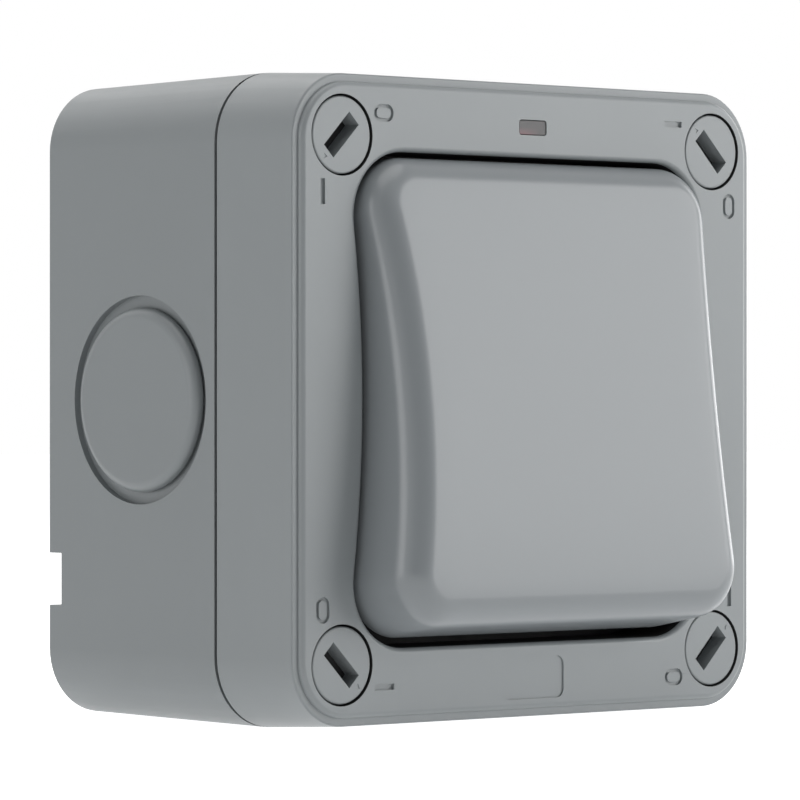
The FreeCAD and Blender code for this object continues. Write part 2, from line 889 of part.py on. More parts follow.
def makeRocker():
    """The rocker, about its own hinge: the wall is at +Y and the hinge runs along X."""
    body = newBody("rocker")
    place(body, 0, pivotOut, 0, (-1, 0, 0), s.rockerTilt)
    halfWaist = waistHalf - s.rockerSideGap
    halfHeight = apertureHalf - s.rockerEndGap
    bow = s.waistRadius + s.rockerSideGap
    skirt = frontSketch(body, "skirt_sketch")
    waisted(skirt, halfWaist, halfHeight, bow, s.rockerCorner)
    pad(body, "cap", skirt, s.rockerRise + s.rockerCrown, taper=-s.rockerDraft)
    crown = sideSketch(body, "crown_sketch")
    makeCrown(crown, halfHeight)
    pocket(body, "crown", crown, s.housingSide, middle=True)
    nearFace = s.rockerRise - s.rockerCrown * 2
    roundEdges(body, "face_round", s.rockerRound,
               lambda edge: edge.BoundBox.YMax < -nearFace.number)

    hollow = frontSketch(body, "hollow_sketch")
    waisted(hollow, halfWaist - s.rockerWall, halfHeight - s.rockerWall,
            bow + s.rockerWall, s.rockerCorner - s.rockerWall)
    ceiling = s.rockerRise - s.rockerSkin
    pocket(body, "hollow", hollow, ceiling, front=True, taper=-s.rockerDraft)

    overlap = s.rockerSkin / 2
    cheekOuter = earInner - s.cheekGap
    cheek = sideSketch(body, "cheek_sketch", cheekOuter - s.cheekThickness)
    outline(cheek, [
        (-ceiling - overlap, -s.cheekRoot),
        (s.cheekFoot, -s.cheekFoot, s.cheekRound),
        (s.cheekFoot, s.cheekFoot, s.cheekRound),
        (-ceiling - overlap, s.cheekRoot),
    ])
    firstCheek = pad(body, "cheek", cheek, s.cheekThickness)
    pivot = sideSketch(body, "pin_sketch", cheekOuter)
    circle(pivot, 0, 0, s.pivotPin)
    firstPin = pad(body, "pin", pivot, s.cheekGap + s.earThickness + s.pinEnd)
    mirrored(body, "cheeks", [firstCheek, firstPin])

    blade = sideSketch(body, "blade_sketch")
    outline(blade, [
        (-ceiling - overlap, -s.driveRoot),
        (s.driveArm, -s.driveNeck),
        (s.driveArm, s.driveNeck),
        (-ceiling - overlap, s.driveRoot),
    ])
    pad(body, "blade", blade, s.driveWidth, middle=True)
    tip = sideSketch(body, "tip_sketch")
    circle(tip, s.driveArm, 0, s.driveTip)
    pad(body, "tip", tip, s.driveWidth, middle=True)
    return body


def makeCrown(sketch, halfHeight):
    """The part above a shallow arch: the arch is highest at the hinge and lower at each end."""
    radius = (halfHeight * halfHeight + s.rockerCrown * s.rockerCrown) / (s.rockerCrown * 2)
    rise = s.rockerRise
    beyond = halfHeight + s.rockerRise
    sag = radius - root(radius * radius - beyond * beyond)
    outer = rise + s.rockerCrown * 4
    centre = V(radius.number - rise.number, 0, 0)
    low = V(-rise.number + sag.number, -beyond.number, 0)
    high = V(-rise.number + sag.number, beyond.number, 0)
    arc = sketch.addGeometry(arcThrough(centre, radius.number, high, low), False)
    corners = [low, V(-outer.number, low.y, 0), V(-outer.number, high.y, 0), high]
    lines = []
    for first, last in zip(corners, corners[1:]):
        lines.append(sketch.addGeometry(Part.LineSegment(first, last), False))
    hold(sketch, "Coincident", arc, 2, lines[0], 1)
    hold(sketch, "Coincident", lines[0], 2, lines[1], 1)
    hold(sketch, "Coincident", lines[1], 2, lines[2], 1)
    hold(sketch, "Coincident", lines[2], 2, arc, 1)
    hold(sketch, "Radius", arc, radius)
    pin(sketch, arc, 3, radius - rise, 0)
    hold(sketch, "DistanceY", -1, 1, arc, 1, beyond)
    hold(sketch, "DistanceY", -1, 1, arc, 2, -beyond)
    pin(sketch, lines[1], 1, -outer, -beyond)
    pin(sketch, lines[1], 2, -outer, beyond)


def makeGasket():
    body = newBody("cover_gasket")
    place(body, 0, 0, 0)
    ring = frontSketch(body, "ring_sketch", s.boxDepth)
    outer = half - s.gasketInset - s.gasketFit
    inner = half - s.gasketInset - s.gasketWidth + s.gasketFit
    roundedSquare(ring, outer, s.housingCorner - s.gasketInset - s.gasketFit)
    roundedSquare(ring, inner, s.housingCorner - s.gasketInset - s.gasketWidth + s.gasketFit)
    pad(body, "ring", ring, s.seamGap + s.gasketGroove)


def makeEntry(side, x, z, axis, angle):
    """A blanking plug, its seal and its nut, turned so that -Y points out through the wall."""
    headRadius = entryRecess / 2 - s.plugHeadGap
    barrelRadius = entryBore / 2 - s.plugBarrelGap
    headTop = -(s.entryRecessDepth + s.plugProud)
    barrelEnd = s.entryBossDepth + s.nutThickness + s.plugEnd
    plug = newBody(f"entry_plug_{side}")
    place(plug, x, entryOut, z, axis, angle)
    turned(plug, "plug", [
        (0, headTop),
        (headRadius, headTop, s.plugRound),
        (headRadius, -s.plugSeal),
        (barrelRadius, -s.plugSeal),
        (barrelRadius, barrelEnd),
        (barrelRadius - s.plugBarrelWall, barrelEnd),
        (barrelRadius - s.plugBarrelWall, 0),
        (0, 0),
    ])
    seal = newBody(f"plug_seal_{side}")
    place(seal, x, entryOut, z, axis, angle)
    turned(seal, "seal", [
        (barrelRadius + s.nutFit, -s.plugSeal),
        (headRadius - s.plugSealRim, -s.plugSeal),
        (headRadius - s.plugSealRim, 0),
        (barrelRadius + s.nutFit, 0),
    ])
    nut = newBody(f"plug_nut_{side}")
    place(nut, x, entryOut, z, axis, angle)
    flats = frontSketch(nut, "flats_sketch", -s.entryBossDepth)
    cornerRadius = (entryRecess / 2 - s.nutInset) / math.cos(math.pi / 6)
    nutTurn = 15
    corners = []
    for i in range(6):
        turn = math.radians(60 * i + nutTurn)
        corners.append((cornerRadius * math.cos(turn), cornerRadius * math.sin(turn)))
    outline(flats, corners)
    circle(flats, 0, 0, barrelRadius + s.nutFit)
    pad(nut, "nut", flats, s.nutThickness, back=True)


def makeIndicator():
    lensBackOut = insideOut - s.lensFlange
    lens = newBody("indicator_lens")
    place(lens, 0, 0, windowUp)
    acrossHalf = s.windowWidth / 2
    upHalf = s.windowHeight / 2
    front = frontSketch(lens, "front_sketch", insideOut)
    x = acrossHalf - s.lensClearance
    z = upHalf - s.lensClearance
    rectangle(front, -x, x, -z, z, s.windowCorner - s.lensClearance)
    pad(lens, "front", front, s.coverFront - s.lensRecess)
    back = frontSketch(lens, "back_sketch", lensBackOut)
    x = acrossHalf + s.lensLip
    z = upHalf + s.lensLip
    rectangle(back, -x, x, -z, z, s.windowCorner)
    pad(lens, "back", back, s.lensFlange)

    lampOut = lensBackOut - s.holderClearance - s.lampLength
    lamp = newBody("indicator_lamp")
    place(lamp, 0, lampOut, windowUp)
    rim = s.lampRadius + s.lampRim
    turned(lamp, "bulb", [
        (0, 0),
        (rim, 0),
        (rim, -s.lampRim),
        (s.lampRadius, -s.lampRim),
        (s.lampRadius, -s.lampLength, s.lampDome),
        (0, -s.lampLength),
    ])
    leads = frontSketch(lamp, "lead_sketch")
    for x in (-s.lampRadius / 2, s.lampRadius / 2):
        circle(leads, x, 0, s.lampLeadRadius)
    pad(lamp, "leads", leads, s.lampLeadLength, back=True)

    holderOut = lensBackOut - s.holderClearance * 3 - s.holderDepth
    holder = newBody("lamp_holder")
    place(holder, 0, holderOut, 0)
    block = frontSketch(holder, "block_sketch")
    low = apertureHalf + s.trayWall + s.holderClearance
    high = frontHalf - s.coverWall - s.holderClearance
    rectangle(block, -s.holderWidth / 2, s.holderWidth / 2, low, high, s.windowCorner)
    circle(block, 0, windowUp, s.lampRadius + s.lensClearance)
    pad(holder, "block", block, s.holderDepth)
    seat = frontSketch(holder, "seat_sketch")
    circle(seat, 0, windowUp, rim + s.lensClearance)
    pocket(holder, "seat", seat, lampOut - holderOut + s.lampRim + s.lensClearance, front=True)


def makeBoot():
    """The rubber boot seals the tray where the rocker's blade passes through."""
    body = newBody("drive_boot")
    place(body, 0, trayBackOut, 0)
    collarOuter = s.bootOpening / 2 - s.bootFit
    collarInner = collarOuter - s.bootSkin
    neckInner = s.bootNeck
    neckOuter = neckInner + s.bootSkin
    roof = -(s.trayFloor + s.bootHeight / 2)
    top = -(s.trayFloor + s.bootHeight)
    turned(body, "boot", [
        (collarInner, s.bootThickness),
        (s.bootFlange, s.bootThickness),
        (s.bootFlange, 0),
        (collarOuter, 0),
        (collarOuter, roof - s.bootSkin, s.bootSkin),
        (neckOuter, roof - s.bootSkin, s.bootSkin / 3),
        (neckOuter, top - s.bootSkin),
        (neckInner, top - s.bootSkin),
        (neckInner, roof),
        (collarInner, roof, s.bootSkin / 3),
    ])

    clampOut = trayBackOut - s.bootThickness - s.clampThickness
    clamp = newBody("boot_clamp")
    place(clamp, 0, clampOut, 0)
    ring = frontSketch(clamp, "ring_sketch")
    circle(ring, 0, 0, s.clampOuter)
    pad(clamp, "ring", ring, s.clampThickness)
    for name, sign in (("top", 1), ("bottom", -1)):
        up = sign * s.clampScrewUp
        lug = frontSketch(clamp, f"{name}_lug_sketch")
        middle = sign * (s.clampInner + s.clampOuter) / 2
        wide = s.clampScrewPad
        low, high = (middle, up) if sign > 0 else (up, middle)
        rectangle(lug, -wide, wide, low, high)
        pad(clamp, f"{name}_lug", lug, s.clampThickness)
        post = frontSketch(clamp, f"{name}_post_sketch")
        circle(post, 0, up, s.clampScrewPad)
        pad(clamp, f"{name}_post", post, s.clampThickness + s.bootThickness)
    holes = frontSketch(clamp, "hole_sketch")
    circle(holes, 0, 0, s.clampInner)
    for up in (s.clampScrewUp, -s.clampScrewUp):
        circle(holes, 0, up, s.clampScrewRadius + s.screwFit)
    pocket(clamp, "holes", holes, s.clampThickness + s.bootThickness, front=True)
    for name, up in (("top", s.clampScrewUp), ("bottom", -s.clampScrewUp)):
        grip = s.clampThickness + s.bootThickness + s.clampScrewGrip
        screw = makeScrew(f"clamp_screw_{name}", s.clampScrewRadius, s.clampHeadRadius,
                          s.clampHeadHeight, grip)
        place(screw, 0, clampOut, up, (1, 0, 0), 180)


def makeScrew(label, shank, head, headHeight, grip):
    """A slotted screw with the underside of its head at its origin and its shank towards +Y."""
    body = newBody(label)
    turned(body, "screw", [
        (0, -headHeight),
        (head, -headHeight, headHeight * s.headRoundShare),
        (head, 0),
        (shank, 0),
        (shank, grip),
        (0, grip),
    ])
    slot = frontSketch(body, "slot_sketch", headHeight)
    along = head + s.slotWidth
    rectangle(slot, -along, along, -s.slotWidth / 2, s.slotWidth / 2)
    pocket(body, "slot", slot, headHeight * s.slotShare)
    return body


def makeBase():
    body = newBody("switch_base")
    place(body, 0, 0, 0)
    block = frontSketch(body, "block_sketch", floorOut)
    rectangle(block, -s.baseAcross, s.baseAcross, -baseUp, baseUp, s.baseCorner)
    pad(body, "block", block, dollyOut - floorOut)
    feet = frontSketch(body, "feet_sketch", floorOut)
    rectangle(feet, -s.flangeAcross, s.flangeAcross, -s.flangeUp, s.flangeUp, s.baseCorner)
    pad(body, "feet", feet, s.flangeHeight)
    hollow = frontSketch(body, "hollow_sketch", floorOut)
    rectangle(hollow, s.baseWall - s.baseAcross, s.baseAcross - s.baseWall,
              s.baseWall - baseUp, baseUp - s.baseWall)
    pocket(body, "hollow", hollow, hollowTopOut - floorOut, front=True)

    depth = dollyOut - cavityFloorOut
    cavities = frontSketch(body, "cavity_sketch", dollyOut)
    pockets = frontSketch(body, "pocket_sketch", dollyOut)
    trench = frontSketch(body, "trench_sketch", cavityFloorOut + s.trenchDepth)
    stops = frontSketch(body, "stop_sketch", cavityFloorOut)
    stopInner = s.stripWidth / 2 + s.seatGap
    beyond = baseUp + s.baseWall
    for pole in (-s.poleAcross, s.poleAcross):
        across = s.cavityAcross
        rectangle(cavities, pole - across, pole + across, -cavityUp, cavityUp)
        wide = s.terminalPocketHalf
        rectangle(pockets, pole - wide, pole + wide, pocketStart, beyond)
        rectangle(pockets, pole - wide, pole + wide, -beyond, -pocketStart)
        wide = s.stripWidth / 2 + s.seatGap
        rectangle(trench, pole - wide, pole + wide, -pocketStart, pocketStart)
        low = armContact - s.stopHalf
        high = armContact + s.stopHalf
        rectangle(stops, pole - across, pole - stopInner, low, high)
        rectangle(stops, pole + stopInner, pole + across, low, high)
    pocket(body, "cavities", cavities, depth)
    pocket(body, "terminal_pockets", pockets, depth)
    pocket(body, "trenches", trench, s.trenchDepth)
    armUnder = armPivotOut - s.armThickness / 2 - sine(s.armTilt) * (armContact + s.stopHalf)
    pad(body, "stops", stops, armUnder - s.seatGap - cavityFloorOut)

    trough = sideSketch(body, "trough_sketch")
    circle(trough, -dollyOut, 0, s.dollyDrum + s.seatGap)
    pocket(body, "trough", trough, (s.dollyHalf + s.seatGap) * 2, middle=True)
    seats = sideSketch(body, "pin_seat_sketch")
    circle(seats, -dollyOut, 0, s.dollyPin + s.dollyFit)
    pocket(body, "pin_seats", seats, (s.dollyHalf + s.dollyPinLength + s.seatGap) * 2,
           middle=True)
    mounts = frontSketch(body, "mount_sketch", floorOut)
    for x in (-mountAcross, mountAcross):
        circle(mounts, x, 0, s.mountScrewShank + s.screwFit)
    pocket(body, "mount_holes", mounts, s.flangeHeight, front=True)
    screws = frontSketch(body, "top_screw_sketch", dollyOut)
    for sign in (-1, 1):
        circle(screws, sign * topScrewAcross, sign * topScrewUp,
               s.topScrewShank + s.screwFit)
    pocket(body, "top_screw_holes", screws, s.topScrewGrip + s.screwFit)


def makeTop():
    body = newBody("switch_top")
    place(body, 0, dollyOut, 0)
    plate = frontSketch(body, "plate_sketch")
    rectangle(plate, -s.baseAcross, s.baseAcross, -topUp, topUp, s.baseCorner)
    across = s.topWindowAcross
    rectangle(plate, -across, across, -s.topWindowUp, s.topWindowUp, s.baseCorner / 2)
    pad(body, "plate", plate, s.topThickness)
    seats = sideSketch(body, "pin_seat_sketch")
    circle(seats, 0, 0, s.dollyPin + s.dollyFit)
    pocket(body, "pin_seats", seats, (s.dollyHalf + s.dollyPinLength + s.seatGap) * 2,
           middle=True)
    sink = s.topScrewHeadHeight + s.screwFit
    holes = frontSketch(body, "hole_sketch")
    sinks = frontSketch(body, "sink_sketch", s.topThickness)
    for sign in (-1, 1):
        x = sign * topScrewAcross
        z = sign * topScrewUp
        circle(holes, x, z, s.topScrewShank + s.screwFit)
        circle(sinks, x, z, s.topScrewHead + s.screwFit)
    pocket(body, "holes", holes, s.topThickness, front=True)
    pocket(body, "sinks", sinks, sink)
    for name, sign in (("upper", 1), ("lower", -1)):
        grip = s.topThickness - sink + s.topScrewGrip
        screw = makeScrew(f"top_screw_{name}", s.topScrewShank, s.topScrewHead,
                          s.topScrewHeadHeight, grip)
        place(screw, sign * topScrewAcross, dollyOut + s.topThickness - sink,
              sign * topScrewUp)


def makeTerminal(name, pole, sign, postAt, postTopOut, postHalf, rivet):
    """A brass clamp with a strip on the cavity floor and a post that stands up from it."""
    body = newBody(f"terminal_{name}")
    place(body, pole, cavityFloorOut, 0)
    blockInner = terminalUp - s.terminalSide / 2
    blockOuter = terminalUp + s.terminalSide / 2
    strip = sideSketch(body, "strip_sketch")
    stripEnd = sign * (blockInner + s.stripThickness)
    stripStart = sign * (postAt - postHalf)
    low, high = (stripStart, stripEnd) if sign > 0 else (stripEnd, stripStart)
    rectangle(strip, -s.stripThickness, 0, low, high)
    pad(body, "strip", strip, s.stripWidth, middle=True)
    post = sideSketch(body, "post_sketch")
    centre = sign * postAt
    top = -(postTopOut - cavityFloorOut)
    outline(post, [
        (0, centre - postHalf),
        (0, centre + postHalf),
        (top, centre + postHalf, s.postRound),
        (top, centre - postHalf, s.postRound),
    ])
    pad(body, "post", post, s.stripWidth, middle=True)
    if rivet:
        disc = frontSketch(body, "rivet_sketch", postTopOut - cavityFloorOut)
        circle(disc, 0, centre, s.rivetRadius)
        pad(body, "rivet", disc, s.rivetHeight, back=True)
    block = sideSketch(body, "block_sketch")
    low, high = (blockInner, blockOuter) if sign > 0 else (-blockOuter, -blockInner)
    rectangle(block, -s.terminalHeight, 0, low, high)
    pad(body, "block", block, s.terminalAcross, middle=True)
    wire = sketchOn(body, "wire_sketch", "XY_Plane", sign * terminalUp)
    circle(wire, 0, -s.wireHoleRise, s.wireHole / 2)
    pocket(body, "wire_hole", wire, s.terminalSide + s.wireHole, middle=True)
    hole = frontSketch(body, "screw_hole_sketch", s.terminalHeight)
    circle(hole, 0, sign * terminalUp, s.terminalScrewShank + s.screwFit)
    pocket(body, "screw_hole", hole, s.terminalHeight - s.wireHoleRise)
    screw = makeScrew(f"screw_{name}", s.terminalScrewShank, s.terminalScrewHead,
                      s.terminalScrewHeadHeight, s.terminalScrewGrip)
    place(screw, pole, cavityFloorOut + s.terminalHeight, sign * terminalUp)


def makePole(name, pole):
    """One pole: two terminals, the rocking contact arm, and the plunger with its spring."""
    fulcrumOut = armPivotOut - s.armThickness / 2 - s.seatGap
    makeTerminal(f"{name}_in", pole, 1, asFormula(0), fulcrumOut, s.postWidth / 2, False)
    rivetDrop = s.armThickness / 2 + s.rivetHeight
    drop = sine(s.armTilt) * (armContact + s.rivetRadius) + cosine(s.armTilt) * rivetDrop
    fixedOut = armPivotOut - drop - s.contactGap
    makeTerminal(f"{name}_out", pole, -1, armContact, fixedOut, s.postWidth / 2, True)

    arm = newBody(f"contact_arm_{name}")
    place(arm, pole, armPivotOut, 0, (-1, 0, 0), s.armTilt)
    plate = frontSketch(arm, "plate_sketch", -s.armThickness / 2)
    across = s.armWidth / 2
    rectangle(plate, -across, across, -s.armHalf, s.armHalf, s.armThickness)
    pad(arm, "plate", plate, s.armThickness)
    rivet = frontSketch(arm, "rivet_sketch", -s.armThickness / 2)
    circle(rivet, 0, -armContact, s.rivetRadius)
    pad(arm, "rivet", rivet, s.rivetHeight, back=True)
    bead = sideSketch(arm, "bead_sketch")
    circle(bead, 0, 0, s.armBead)
    pad(arm, "bead", bead, s.armWidth, middle=True)

    plunger = newBody(f"plunger_{name}")
    place(plunger, pole, dollyOut, 0, (1, 0, 0), s.dollyTilt)
    end = s.plungerTip + s.plungerRadius
    turned(plunger, "plunger", [
        (0, s.plungerBack),
        (s.plungerRadius, s.plungerBack),
        (s.plungerRadius, end, s.plungerRound),
        (0, end),
    ])
    makeSpring(f"plunger_spring_{name}", pole)


def makeSpring(label, pole):
    body = newBody(label)
    place(body, pole, dollyOut, 0, (1, 0, 0), s.dollyTilt)
    wire = sketchOn(body, "wire_sketch", "XY_Plane")
    start = -s.springBack + s.springWire
    circle(wire, s.springRadius, start, s.springWire)
    coil = body.newObject("PartDesign::AdditiveHelix", "coil")
    coil.Profile = wire
    coil.ReferenceAxis = (wire, ["V_Axis"])
    coil.Mode = "height-turns-angle"
    bind(coil, "Height", s.springBack + s.plungerBack - s.springWire * 2)
    bind(coil, "Turns", s.springTurns)
    settle(body, coil)


def makeDolly():
    """The rocking dolly, about its own pins: the wall is at +Y."""
    body = newBody("dolly")
    place(body, 0, dollyOut, 0, (1, 0, 0), s.dollyTilt)
    drum = sideSketch(body, "drum_sketch")
    circle(drum, 0, 0, s.dollyDrum)
    pad(body, "drum", drum, s.dollyHalf * 2, middle=True)
    pins = sideSketch(body, "pin_sketch")
    circle(pins, 0, 0, s.dollyPin)
    pad(body, "pins", pins, (s.dollyHalf + s.dollyPinLength) * 2, middle=True)
    slotHalf = s.driveTip + s.forkFit
    outer = slotHalf + s.forkWall
    driveAt = s.dollyDepth - s.pivotDepth - s.driveArm
    slotFloor = -(driveAt - s.driveTip - s.seatGap)
    fork = sideSketch(body, "fork_sketch")
    outline(fork, [
        (0, -outer),
        (0, outer),
        (-s.forkReach, outer, s.forkRound),
        (-s.forkReach, slotHalf, s.forkRound),
        (slotFloor, slotHalf),
        (slotFloor, -slotHalf),
        (-s.forkReach, -slotHalf, s.forkRound),
        (-s.forkReach, -outer, s.forkRound),
    ])
    pad(body, "fork", fork, s.forkHalf * 2, middle=True)
    sleeves = frontSketch(body, "sleeve_sketch")
    bores = frontSketch(body, "bore_sketch", -s.sleeveReach)
    for pole in (-s.poleAcross, s.poleAcross):
        circle(sleeves, pole, 0, s.sleeveRadius)
        circle(bores, pole, 0, s.plungerRadius + s.plungerFit)
    pad(body, "sleeves", sleeves, s.sleeveReach, back=True)
    pocket(body, "bores", bores, s.sleeveReach + s.springBack + s.screwFit, front=True)


def makeFastener(name, x, z, pointer):
    """A quarter-turn style fastener. Its pointer, and the lug under it, lie along its +X."""
    body = newBody(f"fastener_{name}")
    place(body, x, frontOut, z, (0, -1, 0), pointer)
    headRadius = s.fastenerHole / 2 - s.fastenerGap
    headEnd = s.fastenerSink + s.headLength
    lugTop = frontOut - ledgeOut + s.lugGap
    lugEnd = lugTop + s.lugThickness
    turned(body, "stem", [
        (0, s.fastenerSink),
        (headRadius, s.fastenerSink, s.headRound),
        (headRadius, headEnd),
        (s.shankRadius, headEnd),
        (s.shankRadius, lugEnd),
        (0, lugEnd),
    ])
    lug = frontSketch(body, "lug_sketch", -lugTop)
    rectangle(lug, s.shankRadius / 2, s.lugReach, -s.lugWidth / 2, s.lugWidth / 2)
    pad(body, "lug", lug, s.lugThickness, back=True)
    slot = frontSketch(body, "slot_sketch", -s.fastenerSink)
    along = s.driverLength / 2
    wide = s.driverWidth / 2
    rectangle(slot, -along, along, -wide, wide)
    pocket(body, "driver_slot", slot, s.driverDepth)

    ring = newBody(f"fastener_ring_{name}")
    place(ring, x, frontOut, z, (0, -1, 0), pointer)
    section = sketchOn(ring, "section_sketch", "XY_Plane")
    ringRadius = s.ringThickness / 2
    circle(section, s.shankRadius + s.ringFit + ringRadius,
           headEnd + s.ringFit + ringRadius, ringRadius)
    revolve(ring, "ring", section)


def makeEarth():
    body = newBody("earth_terminal")
    place(body, 0, floorOut, -earthDrop)
    block = frontSketch(body, "block_sketch")
    side = s.earthSide / 2
    rectangle(block, -side, side, -side, side)
    pad(body, "block", block, s.earthHeight)
    wire = sideSketch(body, "wire_sketch")
    circle(wire, -s.wireHoleRise, 0, s.wireHole / 2)
    pocket(body, "wire_hole", wire, s.earthSide + s.wireHole, middle=True)
    hole = frontSketch(body, "screw_hole_sketch", s.earthHeight)
    circle(hole, 0, 0, s.terminalScrewShank + s.screwFit)
    pocket(body, "screw_hole", hole, s.earthHeight - s.wireHoleRise)
    screw = makeScrew("earth_screw", s.terminalScrewShank, s.terminalScrewHead,
                      s.terminalScrewHeadHeight, s.terminalScrewGrip)
    place(screw, 0, floorOut + s.earthHeight, -earthDrop)


makeBackBox()
makeFrontCover()
makeGasket()
makeEntry("left", -entrySeatAt, 0, (0, 0, -1), 90)
makeEntry("top", 0, entrySeatAt, (-1, 0, 0), 90)
makeEntry("right", entrySeatAt, 0, (0, 0, 1), 90)
makeIndicator()
makeBoot()
makeBase()
makeTop()
makePole("line", -s.poleAcross)
makePole("neutral", s.poleAcross)
for side in (-1, 1):
    name = "left" if side < 0 else "right"
    mountScrew = makeScrew(f"mount_screw_{name}", s.mountScrewShank, s.mountScrewHead,
                           s.mountScrewHeadHeight, s.flangeHeight + s.mountScrewGrip)
    place(mountScrew, side * mountAcross, floorOut + s.flangeHeight, 0)
makeEarth()
makeRocker()
makeDolly()
makeFastener("top_left", -cornerAt, cornerAt, 225)
makeFastener("top_right", cornerAt, cornerAt, 135)
makeFastener("bottom_right", cornerAt, -cornerAt, 45)
makeFastener("bottom_left", -cornerAt, -cornerAt, 315)


def exportAll():
    os.makedirs("parts", exist_ok=True)
    doc.recompute()
    for thing in doc.Objects:
        if "Invalid" in thing.State or "Error" in thing.State:
            raise RuntimeError(f"{thing.Label} is {thing.State}")
    bodies = [thing for thing in doc.Objects if thing.TypeId == "PartDesign::Body"]
    for body in bodies:
        if body.Shape.isNull() or not body.Shape.isValid():
            raise RuntimeError(f"{body.Label} has no valid shape")
    for body in bodies:
        body.Shape.exportStep(f"parts/{body.Label}.step")
        print(body.Label, round(body.Shape.Volume, 1), len(body.Shape.Solids))


exportAll()
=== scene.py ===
import json
import math

import bmesh
import bpy
from mathutils import Matrix, Vector


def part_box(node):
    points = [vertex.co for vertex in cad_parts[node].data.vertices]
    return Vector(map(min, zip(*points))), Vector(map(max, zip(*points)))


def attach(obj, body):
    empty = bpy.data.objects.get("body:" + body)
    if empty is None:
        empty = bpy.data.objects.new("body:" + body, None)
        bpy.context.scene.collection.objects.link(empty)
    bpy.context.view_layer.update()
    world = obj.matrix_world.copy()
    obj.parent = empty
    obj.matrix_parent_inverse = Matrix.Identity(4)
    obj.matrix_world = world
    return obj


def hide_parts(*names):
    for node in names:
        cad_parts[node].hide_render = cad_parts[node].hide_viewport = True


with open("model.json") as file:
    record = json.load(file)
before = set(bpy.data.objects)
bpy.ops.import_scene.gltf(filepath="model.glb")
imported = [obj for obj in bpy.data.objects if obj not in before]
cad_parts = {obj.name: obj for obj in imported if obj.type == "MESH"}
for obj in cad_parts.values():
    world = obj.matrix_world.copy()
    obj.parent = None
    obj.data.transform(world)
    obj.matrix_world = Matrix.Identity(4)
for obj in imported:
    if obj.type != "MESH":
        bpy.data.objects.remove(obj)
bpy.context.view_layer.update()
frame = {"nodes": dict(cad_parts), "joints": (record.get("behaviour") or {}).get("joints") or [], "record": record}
nodes = frame["nodes"]
record = frame["record"]
jointAt = {joint["name"]: Vector(joint["pos_m"]) for joint in frame["joints"]}
bodyOf = {node: body for body, group in record["behaviour"]["bodies"].items() for node in group}
slotOf = {entry["node"]: entry["material_slot"] for entry in record["subparts"]}
print("frame loaded:", len(nodes), "nodes")

mm = 0.001
pureWhite = (1.0, 1.0, 1.0, 1.0)
corners = ("top_left", "top_right", "bottom_right", "bottom_left")
fastenerAt = {corner: jointAt[f"fastener_{corner}_turn"] for corner in corners}
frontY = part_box("front_cover")[0].y  # the front faces -Y and the wall plane is y = 0
facing = 0.9  # a face looks along an axis when its normal has at least this share of it


# A socket that can be used in sums, in shader trees and in geometry trees.
class Wire:
    def __init__(self, bench, socket):
        self.bench = bench
        self.socket = socket

    def sum(self, kind, *values):
        return self.bench.make("ShaderNodeMath", {"operation": kind}, *values)

    def __add__(self, other):
        return self.sum("ADD", self, other)

    def __radd__(self, other):
        return self.sum("ADD", other, self)

    def __sub__(self, other):
        return self.sum("SUBTRACT", self, other)

    def __rsub__(self, other):
        return self.sum("SUBTRACT", other, self)

    def __mul__(self, other):
        return self.sum("MULTIPLY", self, other)

    def __rmul__(self, other):
        return self.sum("MULTIPLY", other, self)

    def __truediv__(self, other):
        return self.sum("DIVIDE", self, other)

    def __rtruediv__(self, other):
        return self.sum("DIVIDE", other, self)

    def clamp(self):
        return self.bench.make("ShaderNodeClamp", {}, self)


# A node tree. Inputs are given in their order, or by name with _ for a space.
class Bench:
    def __init__(self, tree):
        self.tree = tree
        tree.nodes.clear()

    def feed(self, socket, value):
        if isinstance(value, Wire):
            self.tree.links.new(value.socket, socket)
        elif value is not None:
            socket.default_value = value

    def node(self, kind, settings, *values, **named):
        made = self.tree.nodes.new(kind)
        for key, value in settings.items():
            setattr(made, key, value)
        for socket, value in zip(made.inputs, values):
            self.feed(socket, value)
        for key, value in named.items():
            self.feed(made.inputs[key.replace("_", " ")], value)
        return made

    def make(self, kind, settings, *values, output=0, **named):
        return Wire(self, self.node(kind, settings, *values, **named).outputs[output])

    # A Mix node has its sockets for numbers and vectors before those for colours.
    def mixColour(self, factor, first, second):
        made = self.node("ShaderNodeMix", {"data_type": "RGBA"})
        self.feed(made.inputs[0], factor)
        self.feed(made.inputs[6], first)
        self.feed(made.inputs[7], second)
        return Wire(self, made.outputs[2])

    def noise(self, place, scale, detail, rough):
        return self.make("ShaderNodeTexNoise", {}, Vector=place, Scale=scale, Detail=detail,
                         Roughness=rough)

    def bump(self, height, distance, strength):
        return self.make("ShaderNodeBump", {}, Strength=strength, Distance=distance, Height=height)

    def axes(self, vector):
        return [Wire(self, axis) for axis in self.node("ShaderNodeSeparateXYZ", {}, vector).outputs]

    # Three masks: what the camera sees itself, in a gloss, and through something clear.
    def rays(self):
        path = self.node("ShaderNodeLightPath", {})
        return [Wire(self, path.outputs[kind])
                for kind in ("Is Camera Ray", "Is Glossy Ray", "Is Transmission Ray")]


class Finish(Bench):
    def __init__(self, name):
        self.material = bpy.data.materials.new(name)
        self.material.use_nodes = True
        super().__init__(self.material.node_tree)
        self.place = self.make("ShaderNodeTexCoord", {}, output=3)  # object coordinates

    def done(self, **sockets):
        shader = self.make("ShaderNodeBsdfPrincipled", {}, **sockets)
        self.node("ShaderNodeOutputMaterial", {}, shader)
        return self.material


